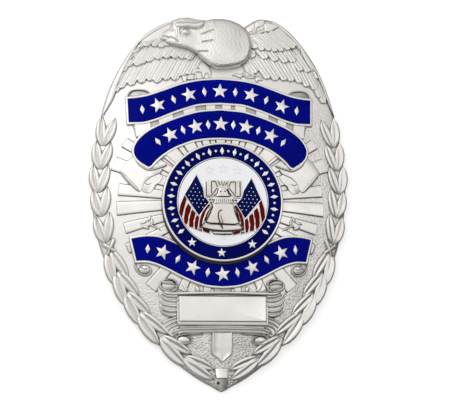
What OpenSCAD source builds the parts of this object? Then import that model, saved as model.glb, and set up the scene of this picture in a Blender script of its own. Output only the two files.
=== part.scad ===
// A shield-shaped breast badge of struck and plated metal: an eagle across the top, three
// enamelled ribbons, a round seal with a bell between two flags, a blank number plate and a
// laurel wreath along the rim. It lies on its back, face up. Lengths are in millimetres:
// +Y runs towards the eagle, +Z out of the face, and the rim of the hollow back stands in
// the plane z = 0.

/* [Shield] */
// Width of the shield over the wreath
shield_w = 54; // [50:1:60]
// Height of the shield from its tip to the eagle's crown
shield_h = 79.6; // [74:0.4:88]
// Rise of the domed face from its rim to its middle
dome_rise = 5; // [4:0.5:6]
// Thickness of the struck plate
plate_t = 1.6; // [1.2:0.1:2]
// Clear gap round each piece that is set into another
gap = 0.06; // [0.04:0.01:0.1]

/* [Wreath and eagle] */
// Half width of a laurel leaf at its middle
leaf_half_w = 1.05; // [0.9:0.05:1.2]
// Height of a leaf's midrib over the face
leaf_rise = 0.95; // [0.6:0.05:1.3]
// Height of the feathers over the face
feather_rise = 0.6; // [0.4:0.05:0.9]
// Height of the eagle's breast over the face
breast_rise = 2.9; // [2:0.1:3.4]
// Height of the eagle's head over the face
head_rise = 2.1; // [1.4:0.1:2.6]
// Height of the sunburst rays over the face
ray_rise = 0.4; // [0.3:0.05:0.55]

/* [Ribbons] */
// Length of the top ribbon's enamel
top_ribbon_l = 38.6; // [36:0.2:40]
// Height of the top ribbon's enamel
top_ribbon_h = 5.1; // [4.6:0.1:5.4]
// Length of the middle ribbon's enamel
middle_ribbon_l = 36.4; // [34:0.2:38]
// Height of the middle ribbon's enamel
middle_ribbon_h = 5.9; // [5.2:0.1:6.2]
// Length of the bottom ribbon's enamel
bottom_ribbon_l = 37.8; // [35:0.2:39]
// Height of the bottom ribbon's enamel
bottom_ribbon_h = 5; // [4.5:0.1:5.3]
// Width of the metal rim round a ribbon's enamel
rim_w = 0.5; // [0.35:0.05:0.7]
// Height of that rim over the face
rim_rise = 0.8; // [0.7:0.05:1]
// Thickness of all the enamel
enamel_t = 0.4; // [0.3:0.05:0.5]
// Radius of the stars in the ribbons, over their points
star_r = 1.7; // [1.3:0.1:1.9]

/* [Seal] */
// Diameter of the seal
seal_d = 25.4; // [23:0.1:27]
// Thickness of the seal over its rim
seal_t = 1.5; // [1.2:0.1:1.9]
// Width of the seal's rim
seal_rim_w = 0.55; // [0.4:0.05:0.8]
// Width of the blue ring
seal_ring_w = 2.55; // [2.2:0.05:2.8]
// Width of the metal line between two enamels
line_w = 0.2; // [0.16:0.02:0.26]
// Radius of the ring's stars, over their points
seal_star_r = 0.95; // [0.7:0.05:1.05]
// Height of the bell over the enamel
bell_rise = 0.25; // [0.1:0.05:0.4]

/* [Number plate] */
// Width of the number plate
number_w = 18.5; // [16:0.1:19.5]
// Height of the number plate
number_h = 5.7; // [5:0.1:6]
// Thickness of the number plate
number_t = 1.15; // [0.9:0.05:1.4]
// Width of its bevelled edges
number_bevel = 0.35; // [0.2:0.05:0.5]

/* [Pin] */
// Distance from the hinge to the catch
pin_l = 42; // [36:1:46]
// Diameter of the pin
pin_d = 1.2; // [1:0.1:1.4]
// Width of the hinge and catch blocks
pin_block_w = 4.4; // [3.6:0.2:5]
// Length of each block
pin_block_l = 3.6; // [3:0.2:4.4]
// Clear height of the blocks over the surface that the badge lies on
pin_lift = 0.5; // [0.3:0.1:0.9]

/* [Hidden] */

// Depth that a raised form runs down into the plate
root_depth = min(1, plate_t * 0.6);
// Depth that a leaf runs down into the plate
LEAF_DEPTH = plate_t * 0.8;
// Rise of a leaf's root, of its tip and of its outer edges, in millimetres
LEAF_ENDS = [0.2, 0.25];
LEAF_EDGE = 0.1;
// Rise of the valley between two leaves against that of their midribs
LEAF_VALLEY = 0.3;
// Sections of a pair of leaves from the root towards the tips. Columns: share of the length,
// half width of a leaf as a share of its own, rise of the midribs as a share of theirs
LEAF_SECTIONS = [[0.22, 0.75, 0.8], [0.55, 1.05, 1]];
// Notch between the two tips, as a share of the length
LEAF_NOTCH = 0.8;
// Rise of the valley between two feathers against that of a feather's middle, and how far it
// stays behind the tips, as a share of a feather's length
FEATHER_VALLEY = [0.4, 0.16];

// Outline of the shield. Columns: angle from the top in degrees, reach as a share of the
// half width and half height
OUTLINE = [
    [0, 1.0], [9, 0.985], [15, 1.02], [25, 1.052], [38, 1.06], [46, 1.06], [53, 1.048],
    [61, 1.028], [70, 1.008], [77, 1.0], [89, 0.99],
    [97, 0.978], [105, 0.962], [111, 0.948], [120, 0.931], [128, 0.918], [137, 0.903],
    [146, 0.904], [157, 0.923], [165, 0.941], [176, 0.975], [180, 1]
];
// Points round the shield
OUTLINE_STEPS = 40;
// Rings of the plate from the middle of its back, over the rim, to the middle of its face.
// Columns: share of the outline's reach, 1 on the face and 0 on the back
PLATE_RINGS = [
    [0.35, 0], [0.65, 0], [0.83, 0], [0.95, 0], [1, 0], [1, 1], [0.88, 1], [0.72, 1], [0.54, 1],
    [0.3, 1]
];
// Share of the outline's reach where the hollow of the back ends
HOLLOW_REACH = 0.95;

// All places below are in hundredths of the half width and of the half height of the shield.

// Pairs of laurel leaves on the left. Columns: x and y of the root, of the inner leaf's tip
// and of the outer leaf's tip
WREATH = [
    [-91.5, 30.7, -82.4, 45.5, -91.5, 47],
    [-92.5, 18.1, -86, 32.7, -95.5, 34],
    [-92.5, 5.5, -86.5, 20.6, -97, 21.4],
    [-91.5, -7.3, -86.5, 8.8, -96.8, 7.5],
    [-89.5, -21.4, -85.5, -5, -95.8, -6.3],
    [-88.9, -24.6, -75.6, -37.9, -85.5, -42.5],
    [-83.5, -34.4, -66.3, -49.5, -76.5, -54],
    [-76, -46.2, -57, -59.5, -66, -64.8],
    [-65.5, -57.5, -44.4, -70.9, -52.4, -75.4],
    [-50, -70, -26.7, -81.2, -33.3, -87.2],
    [-31.5, -82, -8.1, -89.4, -12.6, -95.2]
];
// Straps of the crossed tie on the left, each from one end to the other
TIES = [[[-94, -21.5], [-82, -26.5]], [[-84.5, -18], [-88.5, -28.5]]];
// Half width of a strap, and the rise of its ends, of its middle and of its edges against a leaf's
TIE_SIZE = [0.45, 0.6, 1.25, 0.2];

// Rows of feathers. Each has the line of the roots, the line of the tips and a count
FEATHER_ROWS = [
    [[[-70, 75.9], [-53.7, 79.4], [-38.9, 80.9], [-25.9, 80.9], [-18.1, 79.4]],
        [[-76.3, 62.3], [-63, 64.3], [-49.6, 64.3], [-36.7, 65.6], [-25.9, 70.4]], 9],
    [[[-61.5, 86.2], [-46.3, 88.9], [-33.3, 87.9], [-20.4, 85.4]],
        [[-70, 73.4], [-56.3, 76.1], [-41.9, 77.9], [-24.4, 76.9]], 7],
    [[[23.3, 79.1], [30.7, 80.4], [46.3, 78.9], [61.1, 77.9], [71.5, 73.9], [76.3, 72.1]],
        [[30, 68.8], [38.5, 65.8], [51.9, 65.3], [63.3, 64.6], [75.6, 61.3], [81.5, 56.8]], 9],
    [[[25.9, 84.9], [30.7, 85.9], [42.6, 85.2], [57.4, 85.4], [63, 83.9]],
        [[28.1, 77.4], [36.7, 77.1], [51.5, 75.6], [64.1, 72.1], [72.2, 71.1]], 7],
    [[[25.2, 89.4], [31.5, 92.7], [40.7, 94.2], [48.9, 95]],
        [[31.1, 83.4], [38.9, 82.4], [50, 82.2], [60, 83.7]], 7]
];
// Rise of each row against that of the feathers, and of a row's roots against its tips
ROW_RISES = [0.85, 1.2, 0.85, 1.1, 1.35];
ROOT_RISE = 0.8;
// Inner edge of the smooth band along the wing's leading edge, on the left
BAND = [
    [-37.4, 96.5], [-48.1, 92], [-57.8, 87.2], [-65.5, 80.4], [-71.9, 74], [-76.3, 67.3],
    [-81.1, 61], [-84.5, 54.8], [-90.5, 47.8]
];
// Share of the outline's reach where the band ends, and its rise against the feathers'
BAND_EDGE = [0.995, 0.75];
// Rounded forms of the eagle. Columns: x, y, half length and half width in hundredths of the
// shield's half width, turn in degrees, corners
BREAST = [4.8, 86, 21.5, 21.5, 0, 20];
HEAD = [-23, 91.5, 21, 13.5, 3, 14];
NECK = [-9.5, 87, 14, 9.5, -30, 14];
SHOULDER = [35, 95, 10, 5.3, -10, 14];
// Rise of the shoulder against that of the feathers
SHOULDER_RISE = 1.8;
// Beak, brow and lower jaw. Columns: x, y, half width in hundredths of the shield's half
// width, rise as a share of the head's
BEAK = [[-31, 92.4, 5.6, 0.86], [-37, 92.2, 5.2, 0.81], [-42, 91, 3.7, 0.62], [-45.6, 89.2, 1.3, 0.33]];
BROW = [[-37.5, 96.6, 1.5, 0.76], [-30, 97.4, 3.3, 1.14], [-20, 97.2, 3.3, 1.14], [-11, 95.6, 1.5, 0.86]];
JAW = [[-41, 87.1, 1.1, 0.38], [-33, 85.9, 2.6, 0.62], [-22, 83.6, 3, 0.71], [-13, 80.5, 2.2, 0.57]];
// Rise of their edges in millimetres
BEAK_EDGE = 0.3;
// Talons. Columns: x, y, turn in degrees
TALONS = [[-26.5, 67.4, 80], [-20.5, 67.8, 85], [-14.5, 68.6, 95], [-9, 68.4, 85],
    [13, 68.8, 95], [19, 68.8, 85], [25.5, 67.6, 100], [31.5, 66.2, 110]];
// A talon from its root to its tip. Columns: place along it, half width, rise
TALON = [[1.1, 0.5, 0.8], [-1.1, 0.25, 0.4]];
// Rise of a talon's edges, and how deep it runs down
TALON_EDGES = [0.1, 0.3];

// Rays of the sunburst on the left. Columns: angle from the top in degrees, outer reach and
// width there in hundredths of the shield's half width
RAYS = [
    [47, 85.9, 8.9], [56, 89.6, 8.1], [67.8, 89.3, 11.1], [80.8, 79.3, 8.9], [91.5, 80, 10.7],
    [103.5, 76.3, 8.5], [115, 80, 8.1], [139.6, 83.7, 9.6], [155, 74, 6.7], [170, 69.6, 5.9]
];
// Reach of a ray's inner end, and its width there as a share of its width outside
RAY_INNER = [41, 0.6];

// Folded tail of the middle ribbon on the left. Columns: x and y of the outer edge, x and y
// of the inner edge
TAIL = [
    [-67.8, 23.9, -45, 18], [-73, 21.4, -47.9, 14.3], [-78.1, 16.3, -54.8, 12.4],
    [-73.5, 12, -60, 9.8], [-63.6, 4.6, -62, 6]
];
// Rise of the tail over the face
TAIL_RISE = 0.5;
// Curled ends and small ornaments on the left. Columns: x, y, half length, half width, turn,
// rise in millimetres
CURLS = [
    [-56, 7.2, 5.4, 3.6, 20, 0.5],
    [-62.5, 58.9, 6.8, 1.5, 0, 0.75],
    [-60, -35.6, 5.3, 3.3, 10, 0.7],
    [-42, -44, 6.6, 3.4, 0, 1],
    [-29.4, -72.4, 6.2, 3, 0, 0.8],
    [-57, -11, 4.6, 2.2, 25, 0.4]
];
// Stacked ridges beside the number plate on the left. Columns: y at the plate, y outside
RIDGES = [[-50.2, -48.4], [-52.6, -51], [-55, -53.6], [-57.4, -56.2], [-59.8, -58.4]];
// Their clear distance from the plate, and their length
RIDGE_PLACE = [1.5, 11];
// Half width and rise of a ridge, in millimetres
RIDGE_SIZE = [0.45, 0.75];
// Rise of the edges of a ridge and of a form down the middle line, against their crests'
RIDGE_EDGE = 0.3;
MIDDLE_EDGE = 0.55;
// Slanted ridges under them, from the upper end to the lower end
SLANTS = [[[-36.5, -61], [-43.5, -64.6]], [[-44.5, -65], [-36.5, -70.6]],
    [[-40.5, -65.4], [-33.5, -69]]];
SLANT_SIZE = [0.55, 0.7];
// Bars under and over the number plate. Columns: y, half length, their size
BARS = [[-67.4, 27, [0.5, 0.8]], [-69.4, 27, [0.5, 0.8]], [-49.2, 35, [0.45, 0.5]]];
// Small shield under the number plate, and the knob at the tip. Columns: y, half width in
// hundredths of the shield's half width, rise in millimetres
STUB = [[-69.5, 8.1, 0.9], [-76, 8.5, 0.9], [-80, 7, 0.8], [-85.5, 0.7, 0.5]];
KNOB = [[-88.8, 5, 0.9], [-94, 5.4, 1.1], [-97.5, 4.4, 0.5], [-99.6, 1.5, 0.1]];

// Right half of the ribbons' enamel, from beside the middle to the end. Columns: x and drop of
// the upper edge, x and drop of the lower edge, all as shares of the half length; each drop is
// counted from that edge's own middle
TOP_RIBBON = [
    [0.06, 0, 0.06, 0], [0.207, 0.016, 0.207, 0.012], [0.415, 0.057, 0.389, 0.052],
    [0.596, 0.119, 0.544, 0.109], [0.777, 0.181, 0.7, 0.176], [0.907, 0.202, 0.855, 0.21],
    [1, 0.205, 0.99, 0.21]
];
MIDDLE_RIBBON = [
    [0.06, 0, 0.05, 0], [0.22, 0.022, 0.165, 0.006], [0.44, 0.077, 0.33, 0.034],
    [0.66, 0.165, 0.495, 0.088], [0.84, 0.264, 0.62, 0.154], [0.967, 0.346, 0.703, 0.214],
    [1, 0.462, 0.753, 0.264], [0.945, 0.588, 0.791, 0.308], [0.863, 0.654, 0.813, 0.341]
];
BOTTOM_RIBBON = [
    [0.06, 0, 0.05, 0], [0.212, -0.037, 0.185, -0.016], [0.37, -0.111, 0.37, -0.09],
    [0.529, -0.212, 0.529, -0.169], [0.688, -0.28, 0.672, -0.251],
    [0.847, -0.296, 0.81, -0.299], [1, -0.278, 0.937, -0.302]
];
// Height of each ribbon's middle on the shield
TOP_RIBBON_Y = 65.6;
MIDDLE_RIBBON_Y = 48.2;
BOTTOM_RIBBON_Y = -33.4;
// Marks along a ribbon: shares of the half length, stars where the count from the middle is
// even and lozenges between them
MARK_SHARES = [-0.85, -0.68, -0.51, -0.34, -0.17, 0, 0.17, 0.34, 0.51, 0.68, 0.85];
// Step along the half length that gives a mark its direction
MARK_STEP = 0.02;
// Radius of a star's notches, and half length and half width of a lozenge, against star_r
STAR_NOTCH = 0.42;
LOZENGE = [0.3, 0.62];

// The seal's middle on the shield
SEAL_Y = -2;
seal_r = seal_d / 2;
ring_outer_r = seal_r - seal_rim_w;
ring_inner_r = ring_outer_r - seal_ring_w;
field_r = ring_inner_r - line_w;
star_ring_r = (ring_outer_r + ring_inner_r) / 2;
// Angles of the ring's three stars from its lowest point
SEAL_STARS = [-38, 0, 38];
// Outlines on the seal, in hundredths of its radius; the flags' are for the right side
CANTON = [[45.7, 41.7], [61.8, 8.7], [38.6, -24.4], [23.6, -0.8]];
STRIPES = [
    [[63.8, 4.7], [59.8, -1.6], [64.4, -29], [69, -22]],
    [[56.7, -6.3], [52, -11.8], [57.3, -39], [62.6, -33.5]],
    [[48.8, -15.7], [44.9, -20.5], [48.8, -43.3], [54.3, -41]],
    [[41.7, -23.6], [39.4, -26.8], [40.2, -47.2], [45.9, -45.2]],
    [[21.3, -6.3], [18.9, -9.4], [28.4, -24], [31.6, -34], [33.6, -44.5], [36.4, -46.5],
        [36, -31.5], [30.5, -17.3]],
    [[25.5, -50.2], [32, -48.6], [32, -51.4], [25.5, -53.2]]
];
BELL = [[15, 4.7], [15.5, -1], [17.8, -4.5], [20.5, -17], [25, -33], [32, -44], [30, -47.3],
    [17.5, -47.8], [17.5, -53.8]];
FRAME_POST = [[8, 27], [8, 33.5], [19, 33.5], [19, 9], [27.5, 9], [27.5, 35.5], [30.5, 35.5],
    [30.5, 5.5], [20, 5.5], [10, 14]];
YOKE = [[11, 5.5], [11, 9], [4.5, 23], [7, 34], [4, 34], [1.6, 25]];

// Half of the widest gap in a flag that is filled with metal
FLAG_CLOSE = 0.4;

// Top of the plate's face in the middle of the shield
crown_z = plate_t + dome_rise;
// Height of the seal's and of the number plate's upper face over the shield's
SEAL_LIFT = 0.3;
NUMBER_LIFT = 0.6;
// Lowest and highest level of the seal, and the floor under its enamel
seal_low_z = crown_z + SEAL_LIFT;
seal_top_z = seal_low_z + seal_t;
seal_floor_z = seal_top_z - enamel_t - gap;
// Clear edge of the seat under the seal
SEAT_INSET = 1.2;
// Width of the edge of the number plate's seat round the plate
SEAT_EDGE = 0.3;
// Height that is cleared over a seat
SEAT_CLEAR = 3;
// How far a ribbon's enamel stays under its rim
ENAMEL_SINK = 0.05;

// The number plate's middle on the shield
NUMBER_Y = -57.8;
number_top_z = face_z([0, place([0, NUMBER_Y]).y + number_h / 2]) + NUMBER_LIFT;
number_low_z = number_top_z - number_t;

// How far a pad for a pin block stands down from the hollow, how far it runs up into the
// plate, and the clear height of the pin over the foot of its blocks
PAD_DROP = 0.2;
PAD_ROOT = 0.3;
PIN_CLEAR = 0.2;
// Under side of the pads where the pin's blocks are fastened
pin_seat_z = under_z([pin_block_w / 2, pin_l / 2 + pin_block_l / 2]) - PAD_DROP;

// A place on the face, from hundredths of the half width and of the half height
function place(p) = [p.x * shield_w / 200, p.y * shield_h / 200];
// How far a point lies from the middle, as a share of the outline's reach in that direction
function reach(p) =
    let(s = [2 * p.x / shield_w, 2 * p.y / shield_h])
    norm(s) / lookup(atan2(abs(s.x), s.y), OUTLINE);
// Height of the face and of the hollow's under side at a point
function face_z(p) = plate_t + dome_rise * (1 - pow(min(reach(p), 1), 2));
function hollow_z(share) = dome_rise * (1 - pow(min(share / HOLLOW_REACH, 1), 2));
function under_z(p) = hollow_z(reach(p));
// A point at a height over the face
function over_face(p, rise) = [p.x, p.y, face_z(p) + rise];
// A point of the outline, at an angle from the top and a share of the reach
function outline_point(a, share) =
    let(r = lookup(abs(a), OUTLINE) * share)
    [r * sin(a) * shield_w / 2, r * cos(a) * shield_h / 2];
function unit(v) = v / norm(v);
function left_of(d) = [-d.y, d.x];
function turned(p, a) = [p.x * cos(a) - p.y * sin(a), p.x * sin(a) + p.y * cos(a)];
function mirrored(p) = [-p.x, p.y];
// A point along a line of points, from 0 at its first to 1 at its last
function along(line, t) =
    let(s = t * (len(line) - 1), i = min(floor(s), len(line) - 2))
    line[i] + (line[i + 1] - line[i]) * (s - i);

// Upper and lower point of each row of a ribbon, over its whole length, with the outline
// moved outwards by grow
function ribbon_half(rows, l, h, y) = [for (r = rows) [
    [r[0] * l / 2, place([0, y]).y - r[1] * l / 2],
    [r[2] * l / 2, place([0, y]).y - h - r[3] * l / 2]
]];
function ribbon(rows, l, h, y, grow = 0) =
    let(half = ribbon_half(rows, l, h, y), last = len(half) - 1)
    let(end = unit(half[last][0] + half[last][1] - half[last - 1][0] - half[last - 1][1]))
    let(grown = [for (i = [0 : last]) let(push = i == last ? end * grow : [0, 0])
        [for (k = [0, 1]) half[i][k] + edge_normal(half, i, k) * (1 - 2 * k) * grow + push]])
    concat([for (i = [last : -1 : 0]) [for (p = grown[i]) mirrored(p)]], grown);
// Normal of an edge of a ribbon at a row, upwards on a level edge
function edge_normal(half, i, k) =
    left_of(unit(half[min(i + 1, len(half) - 1)][k] - half[max(i - 1, 0)][k]));
function top_ribbon(grow = 0) = ribbon(TOP_RIBBON, top_ribbon_l, top_ribbon_h, TOP_RIBBON_Y, grow);
function middle_ribbon(grow = 0) =
    ribbon(MIDDLE_RIBBON, middle_ribbon_l, middle_ribbon_h, MIDDLE_RIBBON_Y, grow);
function bottom_ribbon(grow = 0) =
    ribbon(BOTTOM_RIBBON, bottom_ribbon_l, bottom_ribbon_h, BOTTOM_RIBBON_Y, grow);
// Middle line of a ribbon at a share of its half length
function ribbon_middle(rows, share) =
    let(half = [for (i = [floor(len(rows) / 2) : len(rows) - 1]) (rows[i][0] + rows[i][1]) / 2])
    let(widest = max([for (p = half) p.x]))
    let(heights = [for (i = [0 : len(half) - 1]) if (i == 0 || half[i].x > half[i - 1].x) half[i]])
    [share * widest, lookup(abs(share) * widest, heights)];
function star(r, notch) = [for (i = [0 : 9]) let(q = i % 2 == 0 ? r : r * notch)
    [-q * sin(36 * i), q * cos(36 * i)]];
function lozenge(r) = [for (i = [0 : 3]) r * LOZENGE[i % 2] * [[1, 0], [0, 1], [-1, 0], [0, -1]][i]];

// A solid through rings of points, each ring as long as the next. A ring runs anticlockwise
// for one who looks back at it from the last ring.
module loft(rings) {
    n = len(rings[0]);
    last = len(rings) - 1;
    polyhedron(
        points = [for (ring = rings) each ring],
        faces = concat(
            [[for (j = [0 : n - 1]) j]],
            [for (i = [0 : last - 1], j = [0 : n - 1])
                let(k = (j + 1) % n, a = i * n + j, b = i * n + k)
                each [[a, a + n, b], [b, a + n, b + n]]],
            [[for (j = [n - 1 : -1 : 0]) last * n + j]]
        )
    );
}
// A ridged form along the face. Rows of x, y, half width, rise of its crest, rise of its edges
module blade(rows, depth = root_depth) {
    last = len(rows) - 1;
    loft([for (i = [0 : last])
        let(a = rows[max(i - 1, 0)], b = rows[min(i + 1, last)], c = [rows[i].x, rows[i].y])
        let(side = left_of(unit([b.x - a.x, b.y - a.y])) * rows[i][2])
        [over_face(c + side, rows[i][4]), over_face(c, rows[i][3]), over_face(c - side, rows[i][4]),
            over_face(c, -depth)]]);
}
// A flat-topped form between two edges. Rows of the left and the right edge's points
module slab(rows, low, high) {
    loft([for (r = rows) [over_face(r[0], low), over_face(r[0], high), over_face(r[1], high),
        over_face(r[1], low)]]);
}
// A form of one outline that follows the face between two heights over it
module raised(points, low, high) {
    n = len(points);
    middle = [for (i = [0 : 1]) [for (p = points) 1] * [for (p = points) p[i]] / n];
    polyhedron(
        points = concat([for (p = points) over_face(p, low)], [for (p = points) over_face(p, high)],
            [over_face(middle, low), over_face(middle, high)]),
        faces = [for (j = [0 : n - 1]) let(k = (j + 1) % n)
            each [[j, k, 2 * n], [n + k, n + j, 2 * n + 1], [j, n + j, k], [k, n + j, n + k]]]
    );
}
// A rounded form on the face, from a row of x, y, half length, half width, turn and corners
module mound(form, rise) {
    corners = form[5];
    loft([for (q = [[1, -root_depth], [1, rise * 0.25], [0.8, rise * 0.75], [0.4, rise]])
        [for (j = [0 : corners - 1])
            let(a = 360 * j / corners, size = q[0] * shield_w / 200)
            let(p = place(form) + turned([form[2] * size * cos(a), form[3] * size * sin(a)], form[4]))
            over_face(p / max(1, reach(p)), q[1])]]);
}
module both_sides() {
    children();
    mirror([1, 0, 0]) children();
}

module plate() {
    loft([for (r = PLATE_RINGS) [for (i = [0 : OUTLINE_STEPS - 1])
        let(p = outline_point(180 - 360 * i / OUTLINE_STEPS, r[0]))
        [p.x, p.y, r[1] == 1 ? face_z(p) : hollow_z(r[0])]]]);
}

// Two leaves side by side from one root, each with a midrib, and a valley between them
module leaf_pair(root, left_tip, right_tip) {
    sections = [for (q = LEAF_SECTIONS)
        let(l = root + (left_tip - root) * q[0], r = root + (right_tip - root) * q[0])
        let(c = (l + r) / 2, side = left_of(unit((left_tip + right_tip) / 2 - root)) * leaf_half_w * q[1])
        [over_face(c + side * 2, LEAF_EDGE), over_face(c + side, leaf_rise * q[2]),
            over_face(c, leaf_rise * LEAF_VALLEY),
            over_face(c - side, leaf_rise * q[2]), over_face(c - side * 2, LEAF_EDGE),
            over_face(c, -LEAF_DEPTH)]];
    notch = root + ((left_tip + right_tip) / 2 - root) * LEAF_NOTCH;
    polyhedron(
        points = concat([over_face(root, LEAF_ENDS[0])], sections[0], sections[1],
            [over_face(notch, 0), over_face(left_tip, LEAF_ENDS[1]), over_face(right_tip, LEAF_ENDS[1])]),
        faces = concat(
            [for (j = [0 : 5]) [0, 1 + j, 1 + (j + 1) % 6]],
            [for (j = [0 : 5]) let(k = (j + 1) % 6) each [[1 + j, 7 + j, 1 + k], [1 + k, 7 + j, 7 + k]]],
            [[7, 14, 8], [8, 13, 9], [8, 14, 13], [9, 13, 10], [10, 13, 15], [10, 15, 11],
                [12, 14, 7], [12, 13, 14], [12, 15, 13], [11, 15, 12]]
        )
    );
}
module wreath() {
    for (pair = WREATH) {
        root = place([pair[0], pair[1]]);
        inner = place([pair[2], pair[3]]);
        outer = place([pair[4], pair[5]]);
        upwards = pair[1] < pair[3];
        leaf_pair(root, upwards ? outer : inner, upwards ? inner : outer);
    }
    for (tie = TIES)
        blade([for (t = [0, 0.5, 1]) let(p = place(tie[0] + (tie[1] - tie[0]) * t))
            [p.x, p.y, TIE_SIZE[0], leaf_rise * TIE_SIZE[t == 0.5 ? 2 : 1],
                leaf_rise * TIE_SIZE[3]]]);
}

module feather_row(row, rise) {
    halves = 2 * row[2];
    loft([for (i = [0 : halves])
        let(valley = i % 2 == 0, root = place(along(row[0], i / halves)))
        let(tip = place(along(row[1], i / halves)))
        let(end = tip + (root - tip) * (valley ? FEATHER_VALLEY[1] : 0))
        let(top = rise * (valley ? FEATHER_VALLEY[0] : 1))
        [over_face(root, -root_depth), over_face(root, top * ROOT_RISE), over_face(end, top),
            over_face(end, -root_depth)]]);
}
module wing_band() {
    slab([for (p = BAND)
        let(inner = place(p), share = reach(inner))
        [inner, inner / share * BAND_EDGE[0]]], -root_depth, feather_rise * BAND_EDGE[1]);
}
module eagle() {
    for (i = [0 : len(FEATHER_ROWS) - 1])
        feather_row(FEATHER_ROWS[i], feather_rise * ROW_RISES[i]);
    wing_band();
    mirror([1, 0, 0]) wing_band();
    mound(BREAST, breast_rise);
    mound(HEAD, head_rise);
    mound(NECK, head_rise);
    mound(SHOULDER, feather_rise * SHOULDER_RISE);
    for (line = [BEAK, BROW, JAW])
        blade([for (r = line) let(p = place(r)) [p.x, p.y, r[2] * shield_w / 200, r[3] * head_rise, BEAK_EDGE]]);
    for (t = TALONS)
        blade([for (q = TALON) let(p = place(t) + turned([q[0], 0], t[2])) [p.x, p.y, q[1], q[2], TALON_EDGES[0]]],
            TALON_EDGES[1]);
}

module ray(angle, outer, width) {
    c = place([0, SEAL_Y]);
    d = [-sin(angle), cos(angle)] * shield_w / 200;
    hull() slab([for (q = [RAY_INNER, [outer, 1]])
        let(p = c + d * q[0], side = left_of(d) * width / 2 * q[1])
        [p + side, p - side]], -root_depth, ray_rise);
}
module rays() {
    for (r = RAYS) ray(r[0], r[1], r[2]);
}

module tail() {
    slab([for (r = TAIL) [place([r[2], r[3]]), place([r[0], r[1]])]], -root_depth, TAIL_RISE);
}
module curls() {
    for (r = CURLS)
        raised([for (a = [0 : 45 : 315])
            place(r) + turned([r[2] * shield_w / 200 * cos(a), r[3] * shield_h / 200 * sin(a)], r[4])],
            -root_depth, r[5]);
}

// A straight ridge between two places, with its half width and rise
module ridge(a, b, size) {
    blade([for (p = [place(a), place(b)]) [p.x, p.y, size[0], size[1], size[1] * RIDGE_EDGE]]);
}
module plate_frame() {
    edge_x = 100 * number_w / shield_w + RIDGE_PLACE[0];
    for (r = RIDGES) ridge([-edge_x, r[0]], [-edge_x - RIDGE_PLACE[1], r[1]], RIDGE_SIZE);
    for (s = SLANTS) ridge(s[0], s[1], SLANT_SIZE);
}
module plate_bars() {
    for (b = BARS) ridge([-b[1], b[0]], [b[1], b[0]], b[2]);
}
// A form down the middle line, from rows of y, half width and rise
module middle_form(rows) {
    blade([for (r = rows) let(p = place([0, r[0]]))
        [p.x, p.y, r[1] * shield_w / 200, r[2], r[2] * MIDDLE_EDGE]]);
}

// Stars and lozenges set in a ribbon, with their outline moved outwards by grow
module marks(rows, low, high, grow = 0) {
    for (i = [0 : len(MARK_SHARES) - 1]) {
        p = ribbon_middle(rows, MARK_SHARES[i]);
        next = ribbon_middle(rows, MARK_SHARES[i] + MARK_STEP);
        turn = atan2(next.y - p.y, next.x - p.x);
        shape = i % 2 == 1 ? star(star_r + grow * 2, STAR_NOTCH) : lozenge(star_r + grow * 3);
        raised([for (q = shape) p + turned(q, turn)], low, high);
    }
}
module ribbon_tray(outer, inner) {
    difference() {
        slab(outer, -root_depth, rim_rise);
        slab(inner, rim_rise - ENAMEL_SINK - enamel_t - gap, rim_rise + 1);
    }
    marks(inner, -0.1, rim_rise);
}
module ribbon_enamel(rows, marked) {
    color("mediumblue") difference() {
        slab(rows, rim_rise - ENAMEL_SINK - enamel_t, rim_rise - ENAMEL_SINK);
        marks(marked, -1, rim_rise + 1, gap);
    }
}

module seal_seat() {
    depth = plate_t * 0.8;
    translate([0, place([0, SEAL_Y]).y, crown_z - depth])
        cylinder(r = seal_r - SEAT_INSET, h = seal_low_z - gap - crown_z + depth, $fn = 40);
}
module number_pocket() {
    y = place([0, NUMBER_Y]).y;
    translate([-number_w / 2 - gap, y - number_h / 2 - gap, number_low_z - gap])
        cube([number_w + 2 * gap, number_h + 2 * gap, SEAT_CLEAR]);
}
// A block rooted in the plate, with a flat top that the number plate lies on
module number_seat() {
    y = place([0, NUMBER_Y]).y;
    half_w = number_w / 2 + SEAT_EDGE;
    top_z = number_low_z - gap;
    loft([for (s = [1, 0, -1]) let(q = y + s * (number_h / 2 + SEAT_EDGE))
        [[half_w, q, top_z], [-half_w, q, top_z], over_face([-half_w, q], -root_depth),
            over_face([0, q], -root_depth), over_face([half_w, q], -root_depth)]]);
}
module pin_pads() {
    for (s = [-1, 1])
        translate([-pin_block_w / 2, s * pin_l / 2 - pin_block_l / 2, pin_seat_z])
            cube([pin_block_w, pin_block_l, under_z([0, pin_l / 2]) + PAD_ROOT - pin_seat_z]);
}

module shield_body() {
    color("gainsboro") difference() {
        union() {
            plate();
            both_sides() {
                wreath();
                rays();
                tail();
                curls();
                plate_frame();
            }
            eagle();
            plate_bars();
            middle_form(STUB);
            middle_form(KNOB);
            ribbon_tray(top_ribbon(rim_w), top_ribbon());
            ribbon_tray(middle_ribbon(rim_w), middle_ribbon());
            ribbon_tray(bottom_ribbon(rim_w), bottom_ribbon());
            number_seat();
            seal_seat();
            pin_pads();
        }
        number_pocket();
        translate([0, place([0, SEAL_Y]).y, seal_low_z - gap])
            cylinder(r = seal_r + gap, h = SEAT_CLEAR, $fn = 48);
    }
}

module enamel_ribbon_top() { ribbon_enamel(top_ribbon(-gap), top_ribbon()); }
module enamel_ribbon_middle() { ribbon_enamel(middle_ribbon(-gap), middle_ribbon()); }
module enamel_ribbon_bottom() { ribbon_enamel(bottom_ribbon(-gap), bottom_ribbon()); }

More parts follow.
